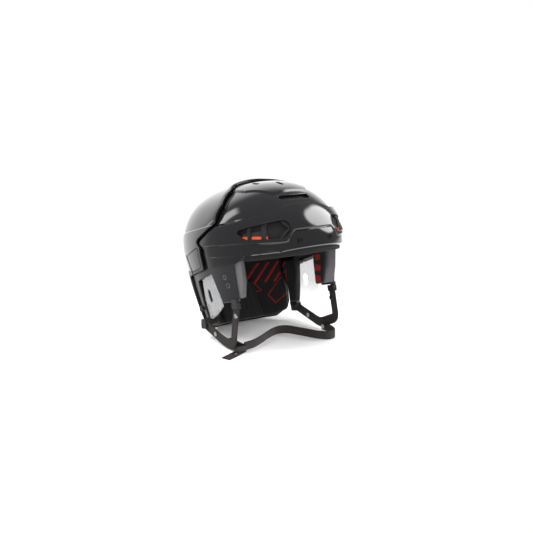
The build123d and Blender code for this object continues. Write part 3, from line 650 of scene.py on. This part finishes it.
def rear_vents(p):
    """Distance into the slanted slots from behind: the most of those into each."""
    best = np.full(len(p), OUTSIDE)
    for x, z in REAR_VENTS:
        for side in (-1, 1):
            centre = (side * x * HALF_WIDTH, z * CROWN_HEIGHT)
            turn = -side * REAR_VENT_TURN
            hole = capsule(p[:, 0], p[:, 2], centre, REAR_VENT_LENGTH, REAR_VENT_WIDTH, turn)
            best = np.maximum(best, hole)
    return np.where(p[:, 1] > 0, best, OUTSIDE)


def above_floor(p):
    """Height over the floor the helmet rests on, less a clearance."""
    return at_rest(p)[:, 2] / MM - FLOOR_CLEARANCE


def rear_outline(p):
    """Distance into the rear shell's outline from the side."""
    return side_distance(p, REAR_COVER)


def rear_edge(p):
    """Distance in from the rear shell's outline, from the floor and from its holes."""
    best = np.minimum(rear_outline(p), above_floor(p))
    best = np.minimum(best, -latch_window(p))
    return np.minimum(best, -rear_vents(p))


def rear_step(p):
    """Distance into the lower raised level's outline from the side."""
    return side_distance(p, REAR_STEP)


def lip_level(inward, height):
    """The thick lip: full at the seam's edge, rounded off inwards, and fading out at its lower end."""
    return LIP_RISE * (1.0 - ramp(inward - LIP_WIDTH, LIP_FADE)) * ramp(height - LIP_LOW_END, LIP_LOW_FADE)


def rear_shell():
    """The rear shell as one wall over the dome. Its outer side is a plain level, with a flat slope up to the
    lower level and the lip along the seam, less a quarter circle along its edges."""
    patch = Patch(columns=280, spacing=2.9)
    patch.measure("outline", rear_outline, [LIP_WIDTH + LIP_FADE * k / 3 for k in range(4)])
    patch.trim(rear_edge, EDGE_ROWS)
    patch.measure("step", rear_step, slope_rows(STEP_SLOPE))
    patch.drop_unused()
    height = patch.points()[:, 2]

    def level(fields):
        step = REAR_STEP_RISE * facet(fields["step"], STEP_SLOPE)
        return REAR_GAP + REAR_WALL + step + lip_level(fields["outline"], height)

    outer = level(patch.fields) - rounded(patch.fields["edge"], EDGE_RADIUS)
    inner = np.full(len(outer), REAR_GAP)
    piece = closed_mesh("rear_shell_skin", patch, outer, inner, lean(patch, level, EDGE_RADIUS))
    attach(piece, "rear")
    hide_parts("rear_shell")
    return piece


def pad(name, node, body, shares, outer, depth, round_edge=7.0, side=0, shape=None, grooves=None):
    """A foam pad: the outline of its side view between two levels of the dome, with a quarter circle round
    its face towards the head and a smaller one round its back."""
    def distance(p):
        best = side_distance(p, shares)
        if side:
            best = np.minimum(best, side * p[:, 0] - SIDE_FROM)
        if shape:
            best = np.minimum(best, shape(p))
        return best

    patch = Patch(columns=300, spacing=2.6)
    patch.trim(distance, PAD_ROWS)
    patch.drop_unused()
    edge = patch.fields["edge"]
    inner = -depth + rounded(edge, round_edge)
    if grooves:
        inner = inner + grooves(patch.points())
    outer_wall = outer - rounded(edge, PAD_BACK_EDGE)
    piece = closed_mesh(name, patch, outer_wall, np.minimum(inner, outer_wall - 1.0))
    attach(piece, body)
    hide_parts(node)
    return piece


def nape_width(p):
    """Distance in from the nape pad's two upright ends."""
    return np.where(p[:, 1] > 0, NAPE_HALF_WIDTH - np.abs(p[:, 0]), OUTSIDE)


def nape_grooves(p):
    """The nape pad's upright grooves, one at every pitch across."""
    to_rib = np.abs((p[:, 0] / NAPE_GROOVE_PITCH + 0.5) % 1.0 - 0.5) * NAPE_GROOVE_PITCH
    return NAPE_GROOVE_DEPTH * (1.0 - ramp(NAPE_GROOVE_PITCH / 2 - to_rib, 2.0))


def path_directions(path):
    """Unit directions along a path of points."""
    return unit(np.gradient(path, axis=0))


def smooth_path(points, count, radius):
    """A path whose corners are round, starting that far before each, with even steps."""
    p = np.asarray(points, float)
    path = [p[:1]]
    s = np.linspace(0.0, 1.0, 9)[:, None]
    for before, here, after in zip(p[:-2], p[1:-1], p[2:]):
        back, ahead = before - here, after - here
        reach = min(radius, 0.48 * np.linalg.norm(back), 0.48 * np.linalg.norm(ahead))
        first = here + back / np.linalg.norm(back) * reach
        last = here + ahead / np.linalg.norm(ahead) * reach
        path.append((1 - s) ** 2 * first + 2 * s * (1 - s) * here + s ** 2 * last)
    p = np.concatenate(path + [p[-1:]])
    s = np.concatenate([[0.0], np.cumsum(np.linalg.norm(np.diff(p, axis=0), axis=1))])
    even = np.linspace(0.0, s[-1], count)
    return np.column_stack([np.interp(even, s, p[:, k]) for k in range(3)]), s[-1]


def ribbon(name, node, path, length, across, width):
    """Flat webbing along a path: a flat section, slightly thinner at its edges by the square of the share
    across, carried along it, with its length, width and height as own places."""
    along = path_directions(path)
    face = unit(np.cross(along, across))
    half, deep = width / 2, WEBBING_THICK / 2
    s = np.linspace(-1.0, 1.0, 9)
    top = np.column_stack([s * (half - deep), deep * (1.0 - 0.12 * s * s)])
    profile = np.concatenate([top, [(half, 0.0)], top[::-1] * [1.0, -1.0], [(-half, 0.0)]])
    m, n = len(profile), len(path)
    grid = path[:, None] + profile[None, :, :1] * across[:, None] + profile[None, :, 1:] * face[:, None]
    k = np.arange(n - 1)[:, None] * m
    j = np.arange(m)[None, :]
    a, b = (k + j).ravel(), (k + (j + 1) % m).ravel()
    fan = np.arange(1, m - 1)
    hub = np.zeros_like(fan)
    faces = np.concatenate([
        np.column_stack([a, a + m, b + m]), np.column_stack([a, b + m, b]),
        np.column_stack([hub, fan, fan + 1]), np.column_stack([hub, fan + 1, fan]) + (n - 1) * m,
    ])
    own = np.column_stack([np.repeat(np.linspace(0.0, length, n), m), np.tile(profile, (n, 1))])
    piece = mesh_object(name, grid.reshape(-1, 3) * MM, faces, own, 60.0)
    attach(piece, "front")
    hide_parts(node)
    return piece


def side_strap(route, side, name):
    """Webbing flat in one plane beside the head, along its rounded route."""
    path, length = smooth_path([(side * STRAP_X, y, z) for y, z in route], 90, SIDE_BEND)
    path = path + SHIFT
    across = unit(np.cross(path_directions(path), [1.0, 0.0, 0.0]))
    return ribbon(name + "_webbing", name, path, length, across, STRAP_WIDTH)


def chin_strap():
    """Webbing on its edge on the floor, along its rounded route."""
    path, length = smooth_path([(x, y, CHIN_LEVEL) for x, y in CHIN_ROUTE], 200, CHIN_BEND)
    across = np.tile([0.0, 0.0, 1.0], (len(path), 1))
    return ribbon("chin_webbing", "chin_strap", path + SHIFT, length, across, CHIN_WIDTH)


def chin_tail():
    """Webbing flat on the floor, along its rounded route."""
    path, length = smooth_path([(x, y, TAIL_LEVEL) for x, y in TAIL_ROUTE], 40, TAIL_BEND)
    path = path + SHIFT
    across = np.cross([0.0, 0.0, 1.0], path_directions(path))
    return ribbon("tail_webbing", "chin_tail", path, length, across, STRAP_WIDTH)


def ear_guard(side, name):
    """The clear plate: its side view outline with the slot, between two levels of the dome, its edges
    rounded by a quarter circle on both faces."""
    centre = np.multiply(GUARD_SLOT, (FRONT_REACH, CROWN_HEIGHT))

    def distance(p):
        slot = capsule(p[:, 1], p[:, 2], centre, GUARD_SLOT_LENGTH, GUARD_SLOT_WIDTH, GUARD_SLOT_TURN)
        best = np.minimum(side_distance(p, GUARD), -slot)
        return np.minimum(best, side * p[:, 0] - SIDE_FROM)

    patch = Patch(columns=420, spacing=1.8, high_t=np.interp(0.0, DOME_SHARES[:, 0], KNOTS))
    patch.trim(distance, (0.2, GUARD_EDGE))
    patch.drop_unused()
    drop = rounded(patch.fields["edge"], GUARD_EDGE)
    piece = closed_mesh(name + "_plate", patch, UNDER_SHELL - drop, UNDER_SHELL - GUARD_WALL + drop)
    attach(piece, "front")
    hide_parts(name)
    return piece


class Shade:
    """A shader value: adding, subtracting and multiplying such values adds the nodes to the tree in hand."""

    tree = None

    def __init__(self, socket):
        self.socket = socket

    @classmethod
    def node(cls, kind, settings, inputs):
        """Any node: its type, its settings, which are set first, and the values or links of its sockets."""
        node = cls.tree.nodes.new(kind)
        for name, value in settings.items():
            setattr(node, name, value)
        cls.feed(node, inputs)
        return node

    @classmethod
    def feed(cls, node, inputs):
        """Sets or links a node's sockets."""
        for key, value in inputs.items():
            if isinstance(value, Shade):
                cls.tree.links.new(value.socket, node.inputs[key])
            else:
                node.inputs[key].default_value = value

    @classmethod
    def do(cls, operation, *values):
        """One Math node."""
        return Shade(cls.node("ShaderNodeMath", {"operation": operation}, dict(enumerate(values))).outputs[0])

    def __add__(self, other):
        return Shade.do("ADD", self, other)

    def __sub__(self, other):
        return Shade.do("SUBTRACT", self, other)

    def __rsub__(self, other):
        return Shade.do("SUBTRACT", other, self)

    def __mul__(self, other):
        return Shade.do("MULTIPLY", self, other)

    def __neg__(self):
        return 0.0 - self

    def __abs__(self):
        return Shade.do("ABSOLUTE", self)

    __radd__ = __add__
    __rmul__ = __mul__

    def step(self, first, last):
        """0 below the first value, 1 above the last, and smooth between."""
        inputs = {"Value": self, "From Min": first, "From Max": last}
        node = Shade.node("ShaderNodeMapRange", {"interpolation_type": "SMOOTHSTEP"}, inputs)
        return Shade(node.outputs["Result"])


def axes(vector):
    """The three parts of a vector."""
    return [Shade(part) for part in Shade.node("ShaderNodeSeparateXYZ", {}, {0: vector}).outputs]


def own_axes():
    """The own-frame place as three values: across, along and up, or length, width and height on webbing."""
    attribute = Shade.node("ShaderNodeAttribute", {"attribute_name": "own"}, {})
    return axes(Shade(attribute.outputs["Vector"]))


def mix_colors(factor, first, second):
    """The first colour where the factor is 0, the second where it is 1."""
    colors = [color if isinstance(color, Shade) else (*color, 1.0) for color in (first, second)]
    node = Shade.node("ShaderNodeMix", {"data_type": "RGBA"}, {0: factor, 6: colors[0], 7: colors[1]})
    return Shade(node.outputs[2])


def mix_shaders(factor, first, second):
    """The first shader where the factor is 0, the second where it is 1."""
    node = Shade.node("ShaderNodeMixShader", {}, {0: factor, 1: first, 2: second})
    return Shade(node.outputs[0])


def bump(height, strength, distance):
    """A shading direction from a height."""
    inputs = {"Strength": strength, "Distance": distance, "Height": height}
    return Shade(Shade.node("ShaderNodeBump", {}, inputs).outputs["Normal"])


def foam_grain():
    """The fine relief of cut foam."""
    place = Shade(Shade.node("ShaderNodeTexCoord", {}, {}).outputs["Object"])
    noise = Shade.node("ShaderNodeTexNoise", {}, {"Vector": place, "Scale": GRAIN_SCALE, "Detail": 3.0})
    return bump(Shade(noise.outputs["Fac"]), GRAIN_STRENGTH, GRAIN_HEIGHT)


def material(name, color, rough, metallic=0.0, coat=0.0, coat_rough=0.05, alpha=1.0):
    """A plain material. Its tree is then the one in hand."""
    m = bpy.data.materials.new(name)
    m.use_nodes = True
    Shade.tree = m.node_tree
    return vary(m, {
        "Base Color": (*color, 1.0), "Roughness": rough, "Metallic": metallic,
        "Coat Weight": coat, "Coat Roughness": coat_rough, "Alpha": alpha,
    })


def vary(m, inputs):
    """Sets or links sockets of a material's shader."""
    Shade.feed(m.node_tree.nodes["Principled BSDF"], inputs)
    return m


# Finishes: colours, and the cut foam's roughness and grain
GLOSS_BLACK = (0.006, 0.006, 0.007)
SATIN_GREY = (0.016, 0.016, 0.018)
LINER_BLACK = (0.012, 0.011, 0.012)
FOAM_DARK = (0.02, 0.019, 0.02)
TEMPLE_GREY = (0.10, 0.10, 0.105)
PRINT_RED = (0.36, 0.012, 0.012)
VENT_ORANGE = (0.62, 0.07, 0.02)
THREAD_DARK = (0.010, 0.008, 0.008)
THREAD_LIGHT = (0.045, 0.036, 0.032)
FOAM_ROUGH = 0.85
GRAIN_SCALE = 900.0
GRAIN_STRENGTH = 0.35
GRAIN_HEIGHT = 0.0006

# Prints on the foam: millimetres round the liner and up, and along and up on the temple pads
LINER_RADIUS = 100.0
STRIPE_FIRST = 66.0
STRIPE_LAST = 122.0
STRIPE_PITCH = 16.0
STRIPE_SHARE = 0.25
STRIPE_SLANT = 0.80
STRIPE_LOW = -56.0
STRIPE_HIGH = -24.0
FIELD_PRINT = ((58.0, -76.0), (70.0, -90.0), (96.0, -74.0), (96.0, -38.0))
CORNER_PRINT = ((28.0, -70.0), (48.0, -68.0), (34.0, -50.0))
PRINT_LINE = 1.2
BLOCK_LEVELS = (-26.0, -42.5, -59.0)
BLOCK_FRONT = -40.0
BLOCK_REAR = -24.0

# The vent foam is bright below a line that rises with the window's lower edge
VENT_LINE_SLOPE = 0.11
VENT_LINE = 32.6

# Webbing: its rows across and its threads along, in millimetres
WEAVE_ROW = 1.4
WEAVE_THREAD = 1.6


def gloss_shell():
    """Glossy black, with the side panels below the band a satin dark grey."""
    m = material("gloss_shell", GLOSS_BLACK, 0.12, coat=0.6, coat_rough=0.03)
    _, y, z = own_axes()
    satin = (-(z + y * 0.05)).step(13.0, 16.0)
    return vary(m, {
        "Base Color": mix_colors(satin, GLOSS_BLACK, SATIN_GREY),
        "Roughness": satin * 0.26 + 0.10,
        "Coat Weight": 0.6 - satin * 0.6,
    })


def inside_convex(u, v, points):
    """Distance into a convex outline, as the least of the distances to its sides."""
    best = None
    for (ax, ay), (bx, by) in zip(points, points[1:] + points[:1]):
        length = math.hypot(bx - ax, by - ay)
        nx, ny = (ay - by) / length, (bx - ax) / length
        side = u * nx + v * ny - (ax * nx + ay * ny)
        best = side if best is None else Shade.do("MINIMUM", best, side)
    return best


def line_at(distance):
    """1 along the zero line of a distance, as wide as a printed line."""
    return 1.0 - abs(distance).step(PRINT_LINE / 2 - 0.15, PRINT_LINE / 2 + 0.15)


def red_print(x, y, z):
    """Prints on the liner behind the ears: a row of slanted stripes and two outlined fields."""
    around = Shade.do("ARCTAN2", abs(x), y) * LINER_RADIUS
    slant = around - z * STRIPE_SLANT
    wave = Shade.do("FRACT", (slant - STRIPE_FIRST) * (1.0 / STRIPE_PITCH))
    stripes = 1.0 - wave.step(STRIPE_SHARE - 0.01, STRIPE_SHARE + 0.02)
    stripes = stripes * (slant - STRIPE_FIRST).step(0.0, 0.5) * (STRIPE_LAST - slant).step(0.0, 0.5)
    stripes = stripes * (z - STRIPE_LOW).step(0.0, 0.6) * (STRIPE_HIGH - z).step(0.0, 0.6)
    field = inside_convex(around, z, FIELD_PRINT)
    corner = inside_convex(around, z, CORNER_PRINT)
    lines = line_at(field) * (field + 2.0).step(0.0, 0.5) + line_at(corner)
    return Shade.do("MINIMUM", stripes + lines, 1.0)


def foam(name, color):
    """Cut foam of one colour."""
    m = material(name, color, FOAM_ROUGH)
    return vary(m, {"Normal": foam_grain()})


def liner_print():
    """The liner's foam with its red prints."""
    m = foam("liner_print", LINER_BLACK)
    return vary(m, {"Base Color": mix_colors(red_print(*own_axes()), LINER_BLACK, PRINT_RED)})


def temple_foam():
    """Grey foam whose face towards the head is dark with three red blocks near its rear edge."""
    m = foam("temple_grey", TEMPLE_GREY)
    x, y, z = own_axes()
    geometry = Shade.node("ShaderNodeNewGeometry", {}, {})
    facing_x = axes(Shade(geometry.outputs["Normal"]))[0]
    inward = (-(facing_x * Shade.do("SIGN", x))).step(0.55, 0.75)
    blocks = None
    for level in BLOCK_LEVELS:
        corners = (
            (BLOCK_FRONT, level + 1.0), (BLOCK_REAR, level),
            (BLOCK_REAR, level + 11.0), (BLOCK_FRONT, level + 9.0),
        )
        block = inside_convex(y, z, corners)
        blocks = block if blocks is None else Shade.do("MAXIMUM", blocks, block)
    face = mix_colors(blocks.step(0.0, 0.3), FOAM_DARK, PRINT_RED)
    return vary(m, {"Base Color": mix_colors(inward, TEMPLE_GREY, face)})


def vent_foam():
    """Bright foam, dark above the strip that shows along the window's lower edge."""
    m = foam("vent_red", VENT_ORANGE)
    _, y, z = own_axes()
    above = (z - y * VENT_LINE_SLOPE).step(VENT_LINE, VENT_LINE + 0.6)
    return vary(m, {"Base Color": mix_colors(above, VENT_ORANGE, FOAM_DARK)})


def woven():
    """Dark webbing: rows of short slanted threads along its length."""
    m = material("woven", THREAD_DARK, 0.75)
    along, across, _ = own_axes()
    rows = abs(Shade.do("SINE", across * (2 * math.pi / WEAVE_ROW)))
    threads = Shade.do("SINE", (along + rows * 0.5) * (2 * math.pi / WEAVE_THREAD))
    height = rows * 0.6 + threads * 0.4
    color = mix_colors(height.step(0.1, 0.9), THREAD_DARK, THREAD_LIGHT)
    return vary(m, {"Base Color": color, "Normal": bump(height, 0.9, 0.0004)})


MATERIALS = {
    "shell": gloss_shell(),
    "latch_plastic": material("latch_gloss", (0.01, 0.01, 0.011), 0.18, coat=0.4),
    "frame_plastic": material("matte_black", (0.012, 0.012, 0.013), 0.45),
    "clear_plastic": material("clear_plate", (0.75, 0.75, 0.76), 0.16, coat=0.2, alpha=0.25),
    "liner": foam("liner_foam", LINER_BLACK),
    "liner_print": liner_print(),
    "temple_foam": temple_foam(),
    "nape_foam": foam("nape_black", FOAM_DARK),
    "vent_foam": vent_foam(),
    "webbing": woven(),
    "dark_metal": material("dark_metal", (0.03, 0.03, 0.032), 0.3, 0.8),
    "steel": material("steel", (0.56, 0.57, 0.58), 0.28, 1.0),
    "snap_metal": material("snap_metal", (0.72, 0.72, 0.74), 0.16, 1.0),
}


def paint(piece, slot_name, finish=None):
    """Gives a piece the finish of a record slot, or another finish in its place."""
    piece.data.materials.clear()
    piece.data.materials.append(MATERIALS[finish or slot_name])


def paint_solids():
    """Gives the solids that stay in sight their slots' finishes."""
    slots = {part["node"]: part["material_slot"] for part in frame["record"]["subparts"]}
    for name, node in frame["nodes"].items():
        if not node.hide_render:
            node.data.materials.clear()
            node.data.materials.append(MATERIALS[slots[name]])


def shells_and_liner():
    """Both shells, and the foam that reaches from side to side."""
    paint(front_shell(), "shell")
    paint(rear_shell(), "shell")
    paint(pad("brow_foam", "brow_pad", "front", BROW_PAD, UNDER_SHELL, LINER_DEPTH), "liner")
    paint(pad("crown_foam", "crown_pad", "front", CROWN_PAD, UNDER_TONGUE, CROWN_DEPTH), "liner")
    rear = pad("rear_foam", "rear_liner", "rear", REAR_LINER, UNDER_REAR, REAR_DEPTH, 5.0)
    paint(rear, "liner", "liner_print")
    nape_outer = -REAR_DEPTH - LINER_GAP
    nape = pad(
        "nape_foam", "occipital_pad", "rear", NAPE_PAD, nape_outer, NAPE_DEPTH, 3.0,
        shape=nape_width, grooves=nape_grooves,
    )
    paint(nape, "nape_foam")


# Each side's pads: name, outline, outer level, depth, radius of the edge, slot and finish
SIDE_FOAM = (
    ("side", SIDE_PAD, UNDER_TONGUE, LINER_DEPTH, 5.0, ("liner", "liner_print")),
    ("temple", TEMPLE_PAD, UNDER_SHELL, TEMPLE_DEPTH, 3.0, ("temple_foam",)),
    ("vent", VENT_PAD, VENT_FOAM_OUTER, VENT_FOAM_DEPTH, 0.8, ("vent_foam",)),
)


def one_side(name, side, route):
    """The foam, the clear plate and the webbing of one side."""
    for part, shares, outer, depth, edge, finishes in SIDE_FOAM:
        foam_pad = pad(name + part + "_foam", name + part + "_pad", "front", shares, outer, depth, edge, side)
        paint(foam_pad, *finishes)
    paint(ear_guard(side, name + "ear_guard"), "clear_plastic")
    paint(side_strap(route, side, name + "side_strap"), "webbing")


# The floor: white from the near distance to the far one, in metres from the middle
FLOOR_SIZE = 6.0
FLOOR_DROP = 0.0004
FLOOR_NEAR = 0.14
FLOOR_FAR = 0.36
FLOOR_GLOW = 1.05

# What the gloss sees, as directions and strengths
BACKDROP_WAY = (0.34, 0.94, 0.0)
PALE_FLOOR_WAY = (0.85, -0.5, 0.0)
ROUND_LAMP_WAY = (0.81, -0.217, 0.545)
STRIP_LAMP_ACROSS = (0.766, 0.643, 0.0)
STRIP_LAMP_WAY = (-0.643, 0.766, 0.0)
BACKDROP = 1.1
ROUND_LAMP = 6.0
STRIP_LAMP = 4.0
DARK_SIDES = 0.30
SOFT_SKY = 0.55

# Area lamps: name, place, size in metres, power in watts
LAMPS = (
    ("key", (-1.3, 0.6, 1.5), 1.2, 40.0),
    ("fill", (1.6, -0.4, 1.2), 1.0, 20.0),
    ("top", (0.0, 0.1, 2.2), 1.6, 50.0),
    ("front", (-0.9, -1.6, 1.0), 1.0, 22.0),
)
LAMP_AIM = Vector((0.0, 0.0, 0.12))

# The camera at the photograph's angle
CAMERA_PLACE = (-0.63898, -0.93335, 0.3646)
CAMERA_AZIMUTH = math.radians(-35.0)
CAMERA_ELEVATION = math.radians(13.0)
CAMERA_LENS = 51.8


def floor_paint():
    """The pale floor: even white away from the helmet, and clear to mirrored rays."""
    m = material("floor_paint", (0.95, 0.95, 0.95), 0.6)
    nodes = m.node_tree.nodes
    x, y, _ = axes(Shade(Shade.node("ShaderNodeTexCoord", {}, {}).outputs["Object"]))
    far = Shade.do("SQRT", x * x + y * y).step(FLOOR_NEAR, FLOOR_FAR)
    glow = Shade(Shade.node("ShaderNodeEmission", {}, {"Strength": FLOOR_GLOW}).outputs[0])
    clear = Shade(Shade.node("ShaderNodeBsdfTransparent", {}, {}).outputs[0])
    mirrored = Shade(Shade.node("ShaderNodeLightPath", {}, {}).outputs["Is Glossy Ray"])
    painted = mix_shaders(far, Shade(nodes["Principled BSDF"].outputs[0]), glow)
    Shade.feed(nodes["Material Output"], {"Surface": mix_shaders(mirrored, painted, clear)})
    return m


def pointing(way, directions):
    """How far directions point a given way."""
    return sum(axis * share for axis, share in zip(directions, way) if share)


def mirrored_studio(directions):
    """What the gloss sees: dark sides, a pale backdrop, a pale floor ahead, a round lamp and a strip."""
    up = directions[2]
    behind = pointing(BACKDROP_WAY, directions).step(0.52, 0.80)
    floor = (-up).step(0.0, 0.10) * pointing(PALE_FLOOR_WAY, directions).step(-0.45, -0.05)
    lamp = pointing(ROUND_LAMP_WAY, directions).step(0.925, 0.945)
    strip = 1.0 - abs(pointing(STRIP_LAMP_ACROSS, directions)).step(0.06, 0.13)
    strip = strip * pointing(STRIP_LAMP_WAY, directions).step(0.0, 0.1) * up.step(0.22, 0.34)
    strip = strip * (1.0 - up.step(0.66, 0.78))
    return (behind + floor) * BACKDROP + lamp * ROUND_LAMP + strip * STRIP_LAMP + DARK_SIDES


def studio():
    """The world: white to the camera, the mirrored studio to gloss, and a soft sky to the rest."""
    world = bpy.data.worlds.new("studio")
    bpy.context.scene.world = world
    world.use_nodes = True
    Shade.tree = world.node_tree
    rays = Shade.node("ShaderNodeLightPath", {}, {}).outputs
    seen, gloss = Shade(rays["Is Camera Ray"]), Shade(rays["Is Glossy Ray"])
    directions = axes(Shade(Shade.node("ShaderNodeTexCoord", {}, {}).outputs["Generated"]))
    strength = seen + (1.0 - seen) * (gloss * mirrored_studio(directions) + (1.0 - gloss) * SOFT_SKY)
    Shade.feed(world.node_tree.nodes["Background"], {"Strength": strength, "Color": (1.0, 1.0, 1.0, 1.0)})


def stage():
    """The floor, one square."""
    corners = np.array([(-1, -1, 0), (1, -1, 0), (1, 1, 0), (-1, 1, 0)]) * FLOOR_SIZE
    floor = mesh_object("floor", corners - [0, 0, FLOOR_DROP], np.array([(0, 1, 2, 3)]))
    floor.data.materials.append(floor_paint())


def put_in_scene(name, data, where, looking):
    """An object in the scene that looks a given way."""
    thing = bpy.data.objects.new(name, data)
    thing.location = where
    thing.rotation_mode = "QUATERNION"
    thing.rotation_quaternion = looking.to_track_quat("-Z", "Y")
    bpy.context.scene.collection.objects.link(thing)
    return thing


def lamps():
    """The area lamps, aimed at the helmet and unseen in the gloss."""
    for name, where, size, power in LAMPS:
        light = bpy.data.lights.new(name, "AREA")
        light.size = size
        light.energy = power
        lamp = put_in_scene(name, light, where, LAMP_AIM - Vector(where))
        lamp.visible_glossy = False


def camera():
    """The camera, looking down at an elevation from an azimuth."""
    data = bpy.data.cameras.new("camera")
    data.lens = CAMERA_LENS
    flat = math.cos(CAMERA_ELEVATION)
    x, y = math.sin(CAMERA_AZIMUTH) * flat, -math.cos(CAMERA_AZIMUTH) * flat
    looking = Vector((-x, -y, -math.sin(CAMERA_ELEVATION)))
    bpy.context.scene.camera = put_in_scene("camera", data, CAMERA_PLACE, looking)


shells_and_liner()
one_side("right_", -1, RIGHT_ROUTE)
one_side("left_", 1, LEFT_ROUTE)
paint(chin_strap(), "webbing")
paint(chin_tail(), "webbing")
paint_solids()
stage()
studio()
lamps()
camera()
bpy.context.scene.view_settings.view_transform = "Standard"
